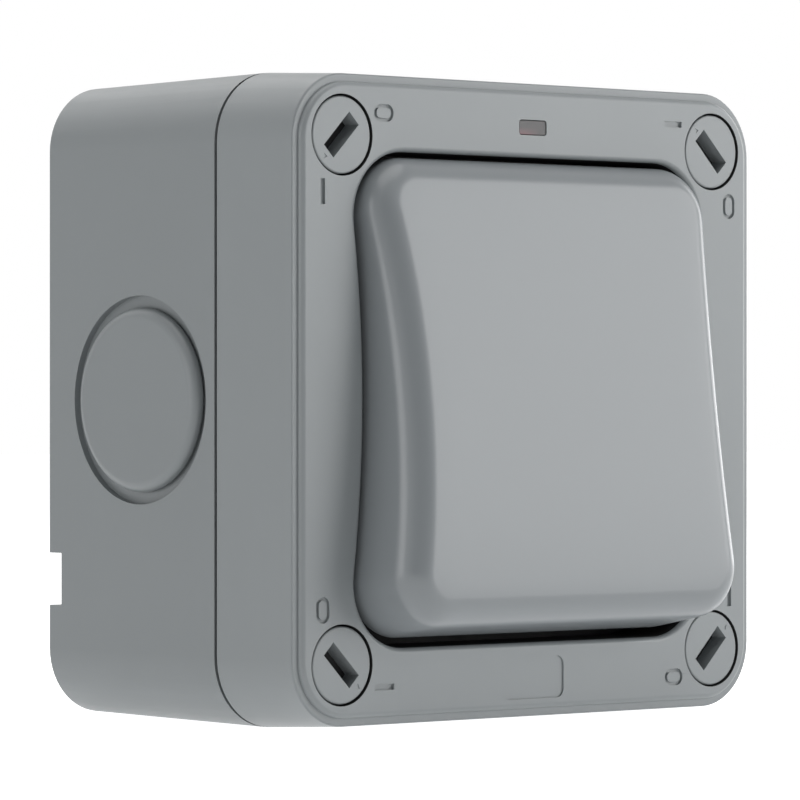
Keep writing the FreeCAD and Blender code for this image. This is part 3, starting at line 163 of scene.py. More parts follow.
# A geometry tree with named inputs, run once over a mesh and turned into a plain mesh.
class Workshop(Bench):
    def __init__(self, name, inputs):
        self.group = bpy.data.node_groups.new(name, "GeometryNodeTree")
        super().__init__(self.group)
        sockets = self.group.interface
        sockets.new_socket("Geometry", in_out="INPUT", socket_type="NodeSocketGeometry")
        for label in inputs:
            sockets.new_socket(label, in_out="INPUT", socket_type="NodeSocketFloat")
        sockets.new_socket("Geometry", in_out="OUTPUT", socket_type="NodeSocketGeometry")
        self.entry = self.node("NodeGroupInput", {})

    def given(self, label):
        return Wire(self, self.entry.outputs[label])

    def result(self, geometry, finish):
        real = self.make("GeometryNodeRealizeInstances", {}, geometry)
        worn = self.make("GeometryNodeSetMaterial", {}, real, Material=finish)
        self.node("NodeGroupOutput", {}, worn)

    def run(self, name, mesh, values):
        piece = bpy.data.objects.new(name, mesh)
        bpy.context.scene.collection.objects.link(piece)
        step = piece.modifiers.new(name, "NODES")
        step.node_group = self.group
        sockets = {item.name: item.identifier for item in self.group.interface.items_tree
                   if item.in_out == "INPUT"}
        for label, value in values.items():
            step[sockets[label]] = value
        return applyModifiers(piece)


def linear(value):
    return value / 12.92 if value <= 0.04045 else ((value + 0.055) / 1.055) ** 2.4


def colour(red, green, blue):
    return tuple(linear(value / 255) for value in (red, green, blue)) + (1.0,)


def shaded(tint, share):
    return tuple(min(1.0, value * share) for value in tint[:3]) + (1.0,)


# Moulded plastic has a fine eroded grain, in mm, faint flow clouds and slightly uneven gloss.
def mouldedPlastic(name, tint, roughness, grain=0.01, cloud=0.03, uneven=0.08):
    f = Finish(name)
    clouds = f.noise(f.place, scale=38.0, detail=4.0, rough=0.55)
    fine = f.noise(f.place, scale=2600.0, detail=2.0, rough=0.6)
    rub = f.noise(f.place, scale=120.0, detail=5.0, rough=0.7)
    base = f.mixColour(clouds, shaded(tint, 1 - cloud), shaded(tint, 1 + cloud))
    return f.done(Base_Color=base, Roughness=roughness + (rub - 0.5) * uneven,
                  Normal=f.bump(fine, distance=grain * mm, strength=0.6), IOR=1.5)


def sealRubberAndPaintedShade(name, tint):
    f = Finish(name)
    dust = f.noise(f.place, scale=300.0, detail=5.0, rough=0.65)
    base = f.mixColour(dust, tint, shaded(tint, 1.8))
    return f.done(Base_Color=base, Roughness=0.7 + (dust - 0.5) * 0.2,
                  Normal=f.bump(dust, distance=0.02 * mm, strength=0.5))


# Drawn metal is tarnished in soft patches and has fine lines across its height.
def drawnMetal(name, tint, roughness):
    f = Finish(name)
    along = f.make("ShaderNodeMapping", {}, Vector=f.place, Scale=(1.0, 1.0, 14.0))
    lines = f.noise(along, scale=700.0, detail=4.0, rough=0.6)
    tarnish = f.noise(f.place, scale=90.0, detail=3.0, rough=0.6)
    base = f.mixColour(tarnish, shaded(tint, 0.72), tint)
    return f.done(Base_Color=base, Metallic=1.0, Roughness=roughness + (lines - 0.5) * 0.25,
                  Normal=f.bump(lines, distance=0.01 * mm, strength=0.6))


# Where the window's painted red glow begins, as a share of its width and height from its middle, and how
# fast it grows to the left and down.
lensPaintedGlow = {
    "smoke": colour(72, 70, 71), "red": colour(128, 88, 94), "roughness": 0.42,
    "leftFrom": 0.2, "leftGrowth": 2.5, "lowFrom": 0.0, "lowGrowth": 3.0,
}
lensLow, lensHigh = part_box("indicator_lens")


# The smoked window is painted a lighter red in its lower left corner, over the lamp: a painted glow.
def smokedLens(name, form):
    f = Finish(name)
    middle = (lensLow + lensHigh) / 2
    size = lensHigh - lensLow
    x, _, z = f.axes(f.place)
    left = ((form["leftFrom"] - (x - middle.x) / size.x) * form["leftGrowth"]).clamp()
    low = ((form["lowFrom"] - (z - middle.z) / size.z) * form["lowGrowth"]).clamp()
    base = f.mixColour((left * low).clamp(), form["smoke"], form["red"])
    grain = f.noise(f.place, scale=900.0, detail=2.0, rough=0.5)
    return f.done(Base_Color=base, Roughness=form["roughness"] + (grain - 0.5) * 0.08,
                  Normal=f.bump(grain, distance=0.01 * mm, strength=0.5), IOR=1.5)


tints = {
    "housing": colour(134, 139, 141),
    "bezel": colour(141, 146, 148),
    "rocker": colour(136, 141, 144),
    "white": colour(214, 214, 208),
    "black": colour(12, 12, 13),
    "red": colour(150, 30, 24),
    "brass": colour(205, 170, 96),
    "steel": colour(190, 190, 192),
    "copper": colour(205, 130, 92),
}
finishes = {
    "housing": mouldedPlastic("housingPlastic", tints["housing"], roughness=0.40, grain=0.005),
    "bezel": mouldedPlastic("bezelPlastic", tints["bezel"], roughness=0.36, grain=0.004),
    "rocker": mouldedPlastic("rockerPlastic", tints["rocker"], roughness=0.26, grain=0.0015,
                             cloud=0.012, uneven=0.03),
    "inner_plastic": mouldedPlastic("innerPlastic", tints["white"], roughness=0.38),
    # The black seal finish is also the painted shade in the seam, the fasteners' wells and their slots, and it
    # paints the rocker's well black.
    "seal": sealRubberAndPaintedShade("sealRubberAndPaintedShade", tints["black"]),
    "lens": smokedLens("smokedLens", lensPaintedGlow),
    "lamp": mouldedPlastic("lampBody", tints["red"], roughness=0.2),
    "brass": drawnMetal("terminalBrass", tints["brass"], roughness=0.32),
    "steel": drawnMetal("platedSteel", tints["steel"], roughness=0.34),
    "copper": drawnMetal("contactCopper", tints["copper"], roughness=0.36),
}
for name, thing in nodes.items():
    thing.data.materials.clear()
    thing.data.materials.append(finishes[slotOf[name]])
print("finishes made:", len(finishes))


def applyModifiers(piece):
    graph = bpy.context.evaluated_depsgraph_get()
    made = bpy.data.meshes.new_from_object(piece.evaluated_get(graph))
    old = piece.data
    piece.modifiers.clear()
    piece.data = made
    made.name = piece.name
    bpy.data.meshes.remove(old)
    return piece


def newPiece(name, shape):
    mesh = bpy.data.meshes.new(name)
    shape.to_mesh(mesh)
    shape.free()
    piece = bpy.data.objects.new(name, mesh)
    bpy.context.scene.collection.objects.link(piece)
    return piece


# A mesh from the frame is loose triangles, so the copy is welded and its flats are joined.
def weldedCopy(node, name, weld=0.004 * mm, flatAngle=0.4):
    shape = bmesh.new()
    shape.from_mesh(nodes[node].data)
    bmesh.ops.remove_doubles(shape, verts=shape.verts, dist=weld)
    bmesh.ops.dissolve_degenerate(shape, dist=weld, edges=shape.edges)
    bmesh.ops.dissolve_limit(shape, angle_limit=math.radians(flatAngle), verts=shape.verts,
                             edges=shape.edges, use_dissolve_boundaries=False)
    piece = newPiece(name, shape)
    normals = piece.data.attributes.get("custom_normal")
    if normals:
        piece.data.attributes.remove(normals)
    return piece


def cut(piece, cutter, kind="DIFFERENCE"):
    step = piece.modifiers.new("cut", "BOOLEAN")
    step.operation = kind
    step.solver = "EXACT"
    step.object = cutter
    applyModifiers(piece)
    bpy.data.objects.remove(cutter)


def smooth(piece):
    for face in piece.data.polygons:
        face.use_smooth = True


def soften(piece, width, segments=2, angle=35):
    smooth(piece)
    edge = piece.modifiers.new("edge", "BEVEL")
    edge.width = width
    edge.segments = segments
    edge.limit_method = "ANGLE"
    edge.angle_limit = math.radians(angle)
    level = piece.modifiers.new("normals", "WEIGHTED_NORMAL")
    level.mode = "FACE_AREA"
    level.keep_sharp = True
    applyModifiers(piece)


# The faces that pass the test take the piece's second material.
def paint(piece, test):
    for face in piece.data.polygons:
        face.material_index = int(test(face.center, face.normal))


def stand(piece, *replaced, wear=None):
    wear = wear or [slotOf[replaced[0]]]
    piece.data.materials.clear()
    for slot in wear:
        piece.data.materials.append(finishes[slot])
    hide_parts(*replaced)
    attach(piece, bodyOf[replaced[0]])


# A block whose outline is given across and up, cut between two depths.
def block(name, points, near, far):
    shape = bmesh.new()
    face = shape.faces.new([shape.verts.new((x, near, z)) for x, z in points])
    grown = bmesh.ops.extrude_face_region(shape, geom=[face])
    moved = [item for item in grown["geom"] if isinstance(item, bmesh.types.BMVert)]
    bmesh.ops.translate(shape, verts=moved, vec=(0, far - near, 0))
    bmesh.ops.recalc_face_normals(shape, faces=shape.faces)
    return newPiece(name, shape)


def roundedRectangle(middleX, middleZ, width, height, radius, steps=6):
    points = []
    for turn, x, z in ((0, 1, 1), (90, -1, 1), (180, -1, -1), (270, 1, -1)):
        for i in range(steps + 1):
            angle = math.radians(turn + 90 * i / steps)
            points.append((middleX + x * (width / 2 - radius) + radius * math.cos(angle),
                           middleZ + z * (height / 2 - radius) + radius * math.sin(angle)))
    return points


# A ring round a rounded square, whose section is given as insets from its side and depths.
def ringCutter(name, half, corner, section):
    shape = bmesh.new()
    rows = []
    for inset, y in section:
        side = (half - inset) * 2
        outline = roundedRectangle(0, 0, side, side, corner - inset, steps=14)
        rows.append([shape.verts.new((x, y, z)) for x, z in outline])
    bridge(shape, zip(rows, rows[1:] + rows[:1]))
    bmesh.ops.recalc_face_normals(shape, faces=shape.faces)
    return newPiece(name, shape)


def bridge(shape, pairs):
    for low, high in pairs:
        for i in range(len(low)):
            j = (i + 1) % len(low)
            shape.faces.new((low[i], low[j], high[j], high[i]))


# The rocker's skin is the waisted outline, drawn in ring by ring: out from the middle of its
# ceiling, down inside its wall, up its draft outside, round its edge and over its arched face.
# Sizes are in millimetres from its hinge, and rings are shares of a height or of the way in.
rockerForm = {
    "halfWaist": 33.95, "halfHeight": 35.65, "bow": 196.6, "corner": 8.6,
    "draft": 3.5, "rise": 15.0, "crown": 2.05, "round": 4.5, "wall": 2.2, "ceiling": 11.0,
    "tilt": 7.3, "sideSteps": 14, "cornerSteps": 16, "endSteps": 8, "roundSteps": 14,
    "ceilingRings": (1.0, 0.75, 0.5, 0.25), "insideRings": (1.0, 0.7, 0.35, 0.0),
    "outsideRings": (0.0, 0.3, 0.6, 0.85), "faceRings": (0.12, 0.3, 0.5, 0.7, 0.85, 1.0),
    "spine": 0.4, "weld": 0.0005, "sharpAngle": 40,
    "websHalf": 28.0, "websDeep": 20.0, "websGap": 0.01, "websEdge": 0.12,
}


# The outline's points across and up, each with the way out of it.
def waistedRing(form):
    top = form["halfHeight"]
    corner = form["corner"]
    bow = form["bow"]
    sideAt = form["halfWaist"] + bow
    cornerUp = top - corner
    cornerAt = sideAt - math.sqrt((bow + corner) ** 2 - cornerUp ** 2)
    lean = math.asin(cornerUp / (bow + corner))
    quarter = []
    for i in range(form["sideSteps"]):
        angle = lean * i / form["sideSteps"]
        across = math.cos(angle)
        up = math.sin(angle)
        quarter.append((sideAt - bow * across, bow * up, across, -up))
    for i in range(form["cornerSteps"]):
        angle = -lean + (math.pi / 2 + lean) * i / form["cornerSteps"]
        across = math.cos(angle)
        up = math.sin(angle)
        quarter.append((cornerAt + corner * across, cornerUp + corner * up, across, up))
    for i in range(form["endSteps"] + 1):
        quarter.append((cornerAt * (1 - i / form["endSteps"]), top, 0.0, 1.0))
    upper = quarter + [(-x, z, -nx, nz) for x, z, nx, nz in quarter[-2::-1]]
    return upper + [(x, -z, nx, -nz) for x, z, nx, nz in upper[-2:0:-1]]


def rockerSkin(form):
    draft = math.radians(form["draft"])
    tan = math.tan(draft)
    radius = form["round"]
    ceiling = form["ceiling"]
    arch = (form["halfHeight"] ** 2 + form["crown"] ** 2) / (form["crown"] * 2)
    ring = waistedRing(form)

    def faceHeight(z):
        return form["rise"] - arch + math.sqrt(arch ** 2 - z ** 2)

    # The middle of the edge's round beside a point of the outline, its radius inside both the
    # drafted wall and the face, and the face's slope there. The face is arched, so it's a search.
    def edgeRound(z, nz):
        inset = radius
        for _ in range(4):
            at = z - nz * inset
            slope = math.atan(at / math.sqrt(arch ** 2 - at ** 2) * nz)
            rim = faceHeight(at) - inset * math.tan(slope)
            a, b = -math.cos(draft), math.sin(draft)
            c, d = -math.sin(slope), math.cos(slope)
            first, second = -radius, -radius + rim * d
            det = a * d - b * c
            middle = ((first * d - b * second) / det, (a * second - first * c) / det)
            inset = middle[0] + radius * math.sin(slope)
        return middle, slope

    def ringAt(places):
        return [(x - nx * inset, height, z - nz * inset)
                for (x, z, nx, nz), (inset, height) in zip(ring, places)]

    # Rings that draw a first one in to a line up the middle, the spine, or out again.
    def capOn(start, heightOf, shares):
        spineLimit = form["halfHeight"] * form["spine"]
        rows = []
        for share in shares:
            row = []
            for x, _, z in start:
                spine = max(-spineLimit, min(spineLimit, z))
                up = z + (spine - z) * share
                row.append((x * (1 - share), heightOf(up), up))
            rows.append(row)
        return rows

    inside = [ringAt([(form["wall"] + share * ceiling * tan, share * ceiling)] * len(ring))
              for share in form["insideRings"]]
    edges = [edgeRound(z, nz) for _, z, _, nz in ring]
    outside = [ringAt([(middle[1] * share * tan, middle[1] * share) for middle, _ in edges])
               for share in form["outsideRings"]]
    for i in range(form["roundSteps"] + 1):
        places = []
        for middle, slope in edges:
            angle = draft + (math.pi / 2 - slope - draft) * i / form["roundSteps"]
            places.append((middle[0] - radius * math.cos(angle),
                           middle[1] + radius * math.sin(angle)))
        outside.append(ringAt(places))
    under = capOn(inside[0], lambda up: ceiling, form["ceilingRings"])
    face = capOn(outside[-1], faceHeight, form["faceRings"])
    return under + inside + outside + face


def tiltedFrame(form):
    turn = Matrix.Rotation(math.radians(form["tilt"]), 4, (-1, 0, 0))
    return Matrix.Translation(jointAt["rocker_hinge"]) @ turn


def makeRocker(form):
    shape = bmesh.new()
    rows = [[shape.verts.new((x * mm, -out * mm, z * mm)) for x, out, z in ring]
            for ring in rockerSkin(form)]
    bridge(shape, zip(rows, rows[1:]))
    bmesh.ops.remove_doubles(shape, verts=shape.verts, dist=form["weld"] * mm)
    bmesh.ops.recalc_face_normals(shape, faces=shape.faces)
    shape.transform(tiltedFrame(form))
    skin = newPiece("rocker_skin", shape)
    smooth(skin)
    skin.data.set_sharp_from_angle(angle=math.radians(form["sharpAngle"]))
    stand(skin, "rocker")

    # The cheeks, pins and blade under the skin stay as their solid has them.
    webs = weldedCopy("rocker", "rocker_webs")
    half = form["websHalf"] * mm
    room = block("room", [(-half, -half), (half, -half), (half, half), (-half, half)],
                 form["websDeep"] * mm, (form["websGap"] - form["ceiling"]) * mm)
    room.data.transform(tiltedFrame(form))
    cut(webs, room, "INTERSECT")
    soften(webs, form["websEdge"] * mm)
    stand(webs, "rocker")


makeRocker(rockerForm)
print("rocker made")

# Each fastener has a ring mark for open and a bar mark for shut, given across and up from its
# middle in millimetres.
cornerMarks = {
    "top_left": {"ring": (8.3, 3.5), "bar": (-3.8, -8.4), "turn": 0},
    "top_right": {"ring": (3.9, -8.5), "bar": (-8.6, 4.0), "turn": 90},
    "bottom_right": {"ring": (-8.5, -4.2), "bar": (4.0, 8.4), "turn": 0},
    "bottom_left": {"ring": (-3.8, 8.2), "bar": (8.5, -3.5), "turn": 90},
}
markForm = {
    "Ring Width": 3.35 * mm, "Ring Height": 2.05 * mm, "Ring Corner": 0.95 * mm,
    "Stroke": 0.55 * mm, "Bar Length": 3.8 * mm, "Bar Width": 0.9 * mm, "Depth": 0.42 * mm,
}


# Cutters for the marks: a swept ring and a bar, set on points that carry their turn.
def markCutters():
    w = Workshop("cornerMarkTree", markForm)
    deep = w.given("Depth") * 2
    path = w.make("GeometryNodeCurvePrimitiveQuadrilateral", {}, Width=w.given("Ring Width"),
                  Height=w.given("Ring Height"))
    bent = w.make("GeometryNodeFilletCurve", {"mode": "POLY"}, path,
                  Radius=w.given("Ring Corner"), Count=6)
    section = w.make("GeometryNodeCurvePrimitiveQuadrilateral", {}, Width=w.given("Stroke"),
                     Height=deep)
    ring = w.make("GeometryNodeCurveToMesh", {}, bent, section)
    size = w.make("ShaderNodeCombineXYZ", {}, w.given("Bar Width"), w.given("Bar Length"), deep)
    bar = w.make("GeometryNodeMeshCube", {}, size)
    turn = w.make("GeometryNodeInputNamedAttribute", {"data_type": "FLOAT"}, "turn")
    isBar = w.make("GeometryNodeInputNamedAttribute", {"data_type": "BOOLEAN"}, "isBar")
    isRing = w.make("FunctionNodeBooleanMath", {"operation": "NOT"}, isBar)
    upright = w.make("ShaderNodeCombineXYZ", {}, math.pi / 2, turn, 0.0)
    points = w.given("Geometry")
    rings = w.make("GeometryNodeInstanceOnPoints", {}, points, isRing, ring, Rotation=upright)
    bars = w.make("GeometryNodeInstanceOnPoints", {}, points, isBar, bar, Rotation=upright)
    both = w.node("GeometryNodeJoinGeometry", {}, rings)
    w.feed(both.inputs[0], bars)
    w.result(Wire(w, both.outputs[0]), finishes["bezel"])
    places = []
    turns = []
    for corner in corners:
        middle = fastenerAt[corner]
        for kind in ("ring", "bar"):
            x, z = cornerMarks[corner][kind]
            places.append((middle.x + x * mm, frontY, middle.z + z * mm))
            turns.append(math.radians(cornerMarks[corner]["turn"]))
    mesh = bpy.data.meshes.new("markPlaces")
    mesh.from_pydata(places, [], [])
    mesh.attributes.new("turn", "FLOAT", "POINT").data.foreach_set("value", turns)
    kinds = [False, True] * len(corners)
    mesh.attributes.new("isBar", "BOOLEAN", "POINT").data.foreach_set("value", kinds)
    return w.run("mark_cutters", mesh, markForm)


# The seam between the box and the lid is a little wider than the solids have it, and the faces
# in it are painted dark as painted shade: the rear of the lid, and the rim of the box from
# "inset" inside the gasket's outer side.
seamForm = {
    "rim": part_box("back_box")[0].y, "gap": 0.4 * mm, "wider": 0.1 * mm, "within": 0.02 * mm,
    "lidWithin": 0.2 * mm, "boxWithin": 0.1 * mm, "inset": 4.5 * mm,
}
coverForm = {
    "edge": 0.12 * mm,
    "padUp": -42.2 * mm, "padWidth": 13.0 * mm, "padHeight": 6.4 * mm,
    "padCorner": 1.4 * mm, "padDepth": 0.22 * mm,
    # Between these depths and within these reaches the rocker's well is painted black. From wellFrom deep, the
    # fasteners' wells are painted dark as painted shade.
    "blackFrom": 1.0 * mm, "blackTo": 11.6 * mm,
    "blackAcross": 36.0 * mm, "blackUp": 37.2 * mm,
    "wellFrom": 0.4 * mm, "wellRadius": 6.2 * mm,
    "panelHalf": 46.92 * mm, "panelCorner": 8.82 * mm, "panelRound": 0.86 * mm,
}


# Moves the rim that lies at one depth.
def openSeam(piece, at, shift):
    for vertex in piece.data.vertices:
        if abs(vertex.co.y - at) < seamForm["within"]:
            vertex.co.y += shift


def makeCover(form):
    cover = weldedCopy("front_cover", "cover_moulding")
    cut(cover, markCutters())
    pad = roundedRectangle(0, form["padUp"], form["padWidth"], form["padHeight"],
                           form["padCorner"])
    cut(cover, block("pad", pad, frontY - form["padDepth"], frontY + form["padDepth"]))

    # The raised panel's edge is fully rounded, down to the ledge round it.
    radius = form["panelRound"]
    angles = [math.radians(angle) for angle in range(0, 91, 15)]
    section = [(radius * (1 - math.cos(angle)), frontY + radius * (1 - math.sin(angle)))
               for angle in angles]
    section += [(radius, frontY - radius), (-radius, frontY - radius), (-radius, frontY + radius)]
    cut(cover, ringCutter("panelEdge", form["panelHalf"], form["panelCorner"], section))
    rear = seamForm["rim"] - seamForm["gap"]
    openSeam(cover, rear, -seamForm["wider"])
    soften(cover, form["edge"])
    stand(cover, "front_cover", wear=["bezel", "seal"])

    # The rocker's well is painted black below a depth, and the fasteners' wells and the seam are
    # painted dark inside, as painted shade.
    def isPaintedDark(middle, normal):
        deep = middle.y - frontY
        deepInWell = (form["blackFrom"] < deep < form["blackTo"]
                 and abs(middle.x) < form["blackAcross"] and abs(middle.z) < form["blackUp"])
        welled = deep > form["wellFrom"] and any(
            math.hypot(middle.x - well.x, middle.z - well.z) < form["wellRadius"]
            for well in fastenerAt.values())
        rearward = normal.y > facing and abs(middle.y - rear) < seamForm["lidWithin"]
        return deepInWell or welled or rearward

    paint(cover, isPaintedDark)


makeCover(coverForm)
print("cover made")

# A small pointer is cut into each fastener's head, at an angle from +X in degrees. The slot's deep floor is
# painted black as painted shade.
fastenerForm = {
    "edge": 0.14 * mm,
    "pointerFrom": 4.3 * mm, "pointerTo": 5.1 * mm,
    "pointerHalf": 0.36 * mm, "pointerDepth": 0.12 * mm,
    "slotFrom": 0.9 * mm, "slotReach": 4.6 * mm,
    "pointers": {"top_left": 225, "top_right": 135, "bottom_right": 45, "bottom_left": 315},
}


def makeFastener(corner, form):
    node = "fastener_" + corner
    head = weldedCopy(node, "fastener_head_" + corner)
    middle = fastenerAt[corner]
    angle = math.radians(form["pointers"][corner])
    out = Vector((math.cos(angle), math.sin(angle)))
    side = Vector((-out.y, out.x)) * form["pointerHalf"]
    at = Vector((middle.x, middle.z))
    base = at + out * form["pointerFrom"]
    points = [base + side, base - side, at + out * form["pointerTo"]]
    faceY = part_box(node)[0].y
    cut(head, block("pointer", points, faceY - form["pointerDepth"],
                    faceY + form["pointerDepth"]))
    soften(head, form["edge"])
    stand(head, node, wear=[slotOf[node], "seal"])

    # The slot's deep floor takes the black second material: painted shade.
    def isSlotFloor(place, normal):
        reach = math.hypot(place.x - middle.x, place.z - middle.z)
        return (normal.y < -facing and place.y - faceY > form["slotFrom"]
                and reach < form["slotReach"])

    paint(head, isSlotFloor)


for corner in corners:
    makeFastener(corner, fastenerForm)
print("fasteners made:", len(corners))

boxForm = {"edge": 0.14 * mm}


def makeBox(form):
    box = weldedCopy("back_box", "box_moulding")
    openSeam(box, seamForm["rim"], seamForm["wider"])
    soften(box, form["edge"])
    stand(box, "back_box", wear=["housing", "seal"])
    rim = seamForm["rim"] + seamForm["wider"]
    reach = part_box("cover_gasket")[1].x - seamForm["inset"]

    # The rim in the seam takes the black second material: painted shade.
    def isRim(middle, normal):
        return (normal.y < -facing and abs(middle.y - rim) < seamForm["boxWithin"]
                and max(abs(middle.x), abs(middle.z)) > reach)

    paint(box, isRim)


makeBox(boxForm)
print("box made")

lensForm = {"front": 0.1 * mm, "aside": 0.07 * mm, "forward": 0.35 * mm, "edge": 0.08 * mm}


# The window sits nearly flush, with its wider gap on the left.
def makeLens(form):
    lens = weldedCopy("indicator_lens", "lens_moulding")
    for vertex in lens.data.vertices:
        if vertex.co.y < lensLow.y + form["front"]:
            vertex.co += Vector((form["aside"], -form["forward"], 0))
    soften(lens, form["edge"])
    stand(lens, "indicator_lens")


makeLens(lensForm)

# The other mouldings keep their solids' shapes, with softened edges.
softEdges = {
    "entry_plug_left": 0.1 * mm, "entry_plug_top": 0.1 * mm, "entry_plug_right": 0.1 * mm,
    "switch_base": 0.12 * mm, "switch_top": 0.12 * mm, "dolly": 0.12 * mm,
}
for node, width in softEdges.items():
    piece = weldedCopy(node, node + "_moulding")
    soften(piece, width)
    stand(piece, node)
print("window and other mouldings made:", 1 + len(softEdges))

gasketLow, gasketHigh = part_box("cover_gasket")
gasketWidth = 1.4 * mm
gasketForm = {
    "Side": gasketHigh.x - gasketLow.x - gasketWidth, "Corner": 9.15 * mm,
    "Width": gasketWidth, "Height": gasketHigh.y - gasketLow.y, "Round": 0.3 * mm,
}


# The seam's gasket is a rounded strip that follows the rim of the box.
def makeGasket(form):
    w = Workshop("gasketTree", form)
    square = w.make("GeometryNodeCurvePrimitiveQuadrilateral", {}, Width=w.given("Side"),
                    Height=w.given("Side"))
    path = w.make("GeometryNodeFilletCurve", {"mode": "POLY"}, square,
                  Radius=w.given("Corner"), Count=14)
    flat = w.make("GeometryNodeCurvePrimitiveQuadrilateral", {}, Width=w.given("Width"),
                  Height=w.given("Height"))
    section = w.make("GeometryNodeFilletCurve", {"mode": "POLY"}, flat,
                     Radius=w.given("Round"), Count=3)
    strip = w.make("GeometryNodeCurveToMesh", {}, path, section)
    turned = w.make("GeometryNodeTransform", {}, strip, Rotation=(math.pi / 2, 0, 0))
    w.result(turned, finishes["seal"])
    strip = w.run("gasket_strip", bpy.data.meshes.new("gasketStart"), form)
    strip.data.transform(Matrix.Translation((0, (gasketLow.y + gasketHigh.y) / 2, 0)))
    smooth(strip)
    stand(strip, "cover_gasket")


makeGasket(gasketForm)

springForm = {
    "Turns": 5.0, "Coil Radius": 1.2 * mm, "Wire Radius": 0.22 * mm, "Length": 2.96 * mm,
    "Lean": math.radians(10.95),
}


# One coil spring lies behind each plunger in the dolly.
def makeSprings(form):
    w = Workshop("springTree", form)
    coil = w.make("GeometryNodeCurveSpiral", {}, Resolution=24, Rotations=w.given("Turns"),
                  Start_Radius=w.given("Coil Radius"), End_Radius=w.given("Coil Radius"),
                  Height=w.given("Length"))
    section = w.make("GeometryNodeCurvePrimitiveCircle", {}, Resolution=8,
                     Radius=w.given("Wire Radius"))
    wire = w.make("GeometryNodeCurveToMesh", {}, coil, section, Fill_Caps=True)
    tipped = w.make("ShaderNodeCombineXYZ", {}, math.pi / 2 - w.given("Lean"), 0.0, 0.0)
    both = w.make("GeometryNodeInstanceOnPoints", {}, w.given("Geometry"), Instance=wire,
                  Rotation=tipped)
    w.result(both, finishes["steel"])
    places = []
    for node in ("plunger_spring_line", "plunger_spring_neutral"):
        low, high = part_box(node)
        places.append(((low.x + high.x) / 2, low.y + form["Wire Radius"], (low.z + high.z) / 2))
    mesh = bpy.data.meshes.new("springPlaces")
    mesh.from_pydata(places, [], [])
    springs = w.run("plunger_springs", mesh, form)
    smooth(springs)
    stand(springs, "plunger_spring_line", "plunger_spring_neutral")


makeSprings(springForm)
print("gasket and springs made")

floorForm = {"size": 6.0, "matt": 0.8, "white": 1.0, "bounce": 0.45}


# The floor is white to the camera, in gloss and through glass, and keeps the object's soft
# shadow. A camera below the floor looks through it.
def makeFloor(form):
    f = Finish("paleFloor")
    camera, glossy, through = f.rays()
    matt = f.make("ShaderNodeBsdfDiffuse", {}, (form["matt"],) * 3 + (1.0,))
    white = f.make("ShaderNodeEmission", {}, pureWhite, form["white"])
    bounce = f.make("ShaderNodeEmission", {}, pureWhite, form["bounce"])
    shown = (camera + glossy + through).clamp()
    glow = f.make("ShaderNodeMixShader", {}, shown, bounce, white)
    lit = f.make("ShaderNodeAddShader", {}, matt, glow)
    clear = f.make("ShaderNodeBsdfTransparent", {}, pureWhite)
    back = f.node("ShaderNodeNewGeometry", {}).outputs["Backfacing"]
    whole = f.make("ShaderNodeMixShader", {}, Wire(f, back) * camera, lit, clear)
    f.node("ShaderNodeOutputMaterial", {}, whole)
    half = form["size"] / 2
    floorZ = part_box("back_box")[0].z
    shape = bmesh.new()
    shape.faces.new([shape.verts.new((x, y, floorZ)) for x, y in
                     ((-half, -half), (half, -half), (half, half), (-half, half))])
    floor = newPiece("floor", shape)
    floor.data.materials.append(f.material)


# The room is white to the camera, and in gloss but for a dark stretch that gives the edges
# their shade. Its turn from the front towards +X and its half widths are in degrees.
roomForm = {
    "light": 0.09, "tint": (0.96, 0.98, 1.0, 1.0),
    "darkTurn": -22, "darkWide": 44, "darkCore": 24, "darkShare": 0.9,
}


def makeRoom(form):
    world = bpy.data.worlds.new("studio")
    bpy.context.scene.world = world
    world.use_nodes = True
    w = Bench(world.node_tree)
    camera, glossy, through = w.rays()
    turn = math.radians(form["darkTurn"])
    x, y, _ = w.axes(w.make("ShaderNodeTexCoord", {}))
    toward = x * math.sin(turn) - y * math.cos(turn)
    edge = math.cos(math.radians(form["darkWide"]))
    core = math.cos(math.radians(form["darkCore"]))
    dark = ((toward - edge) / (core - edge)).clamp() * form["darkShare"]
    white = w.make("ShaderNodeBackground", {}, pureWhite, 1.0)
    soft = w.make("ShaderNodeBackground", {}, form["tint"], form["light"])
    share = (camera + through + glossy * (1 - dark)).clamp()
    w.node("ShaderNodeOutputWorld", {}, w.make("ShaderNodeMixShader", {}, share, soft, white))


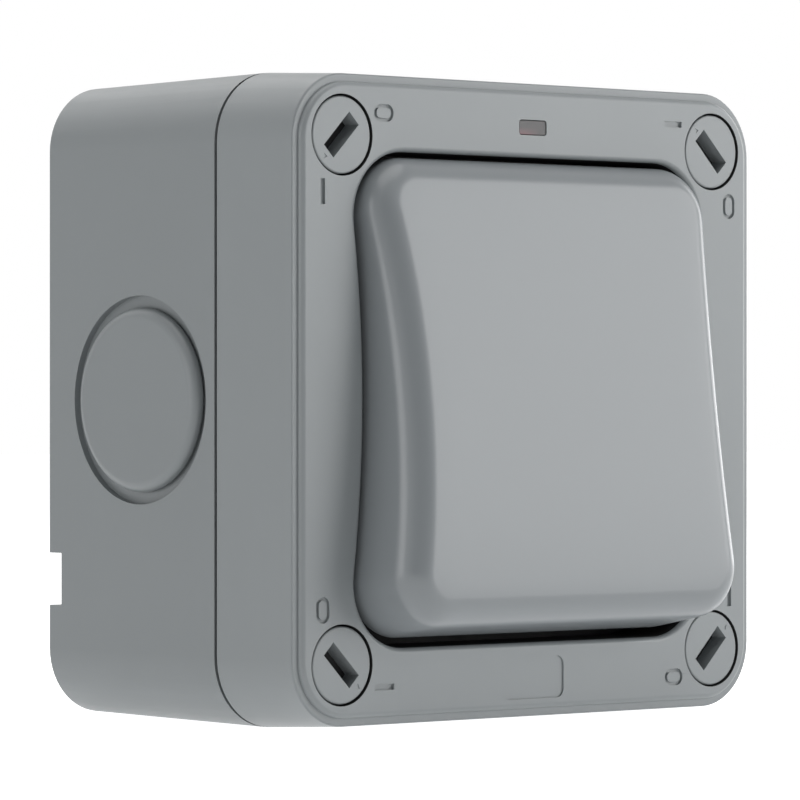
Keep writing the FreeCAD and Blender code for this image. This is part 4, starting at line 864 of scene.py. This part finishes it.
# Lamps are soft boxes, each given by its turn from the front towards +X and its rise, in
# degrees, and by how far it stands from the object's middle.
lamps = {
    "keyBox": {"turn": 50, "rise": 2, "away": 1.2, "size": (0.9, 1.2), "power": 11.4},
    "leftStrip": {"turn": -95, "rise": 0, "away": 1.1, "size": (0.5, 1.1), "power": 4.1},
    "rightStrip": {"turn": 100, "rise": 4, "away": 1.1, "size": (0.6, 1.0), "power": 4.2},
    "topBox": {"turn": -10, "rise": 82, "away": 1.0, "size": (1.0, 0.8), "power": 4.2},
    "backBox": {"turn": 180, "rise": 42, "away": 1.1, "size": (1.0, 0.6), "power": 2.0},
}


def makeLamp(name, settings):
    turn = math.radians(settings["turn"])
    rise = math.radians(settings["rise"])
    aim = Vector((0, frontY / 2, 0))
    away = Vector((math.sin(turn) * math.cos(rise), -math.cos(turn) * math.cos(rise),
                   math.sin(rise)))
    light = bpy.data.lights.new(name, "AREA")
    light.shape = "RECTANGLE"
    light.size, light.size_y = settings["size"]
    light.energy = settings["power"]
    lamp = bpy.data.objects.new(name, light)
    lamp.location = aim + away * settings["away"]
    lamp.rotation_euler = away.to_track_quat("Z", "Y").to_euler()
    bpy.context.scene.collection.objects.link(lamp)


# The camera stands across and in front of the cover's face, and looks against "outward".
cameraForm = {
    "across": -0.5458, "back": 0.5644, "lens": 232.3, "sensor": 36.0, "near": 0.05,
    "outward": (0.6764, 0.7365, 0.0),
}


def makeCamera(form):
    camera = bpy.data.cameras.new("camera")
    camera.lens = form["lens"]
    camera.sensor_width = form["sensor"]
    camera.clip_start = form["near"]
    thing = bpy.data.objects.new("camera", camera)
    thing.location = (form["across"], frontY - form["back"], 0.0)
    thing.rotation_euler = (-Vector(form["outward"])).to_track_quat("Z", "Y").to_euler()
    bpy.context.scene.collection.objects.link(thing)
    bpy.context.scene.camera = thing


makeFloor(floorForm)
makeRoom(roomForm)
for name, settings in lamps.items():
    makeLamp(name, settings)
makeCamera(cameraForm)
bpy.context.scene.view_settings.view_transform = "Standard"
print("stage, lamps and camera made")
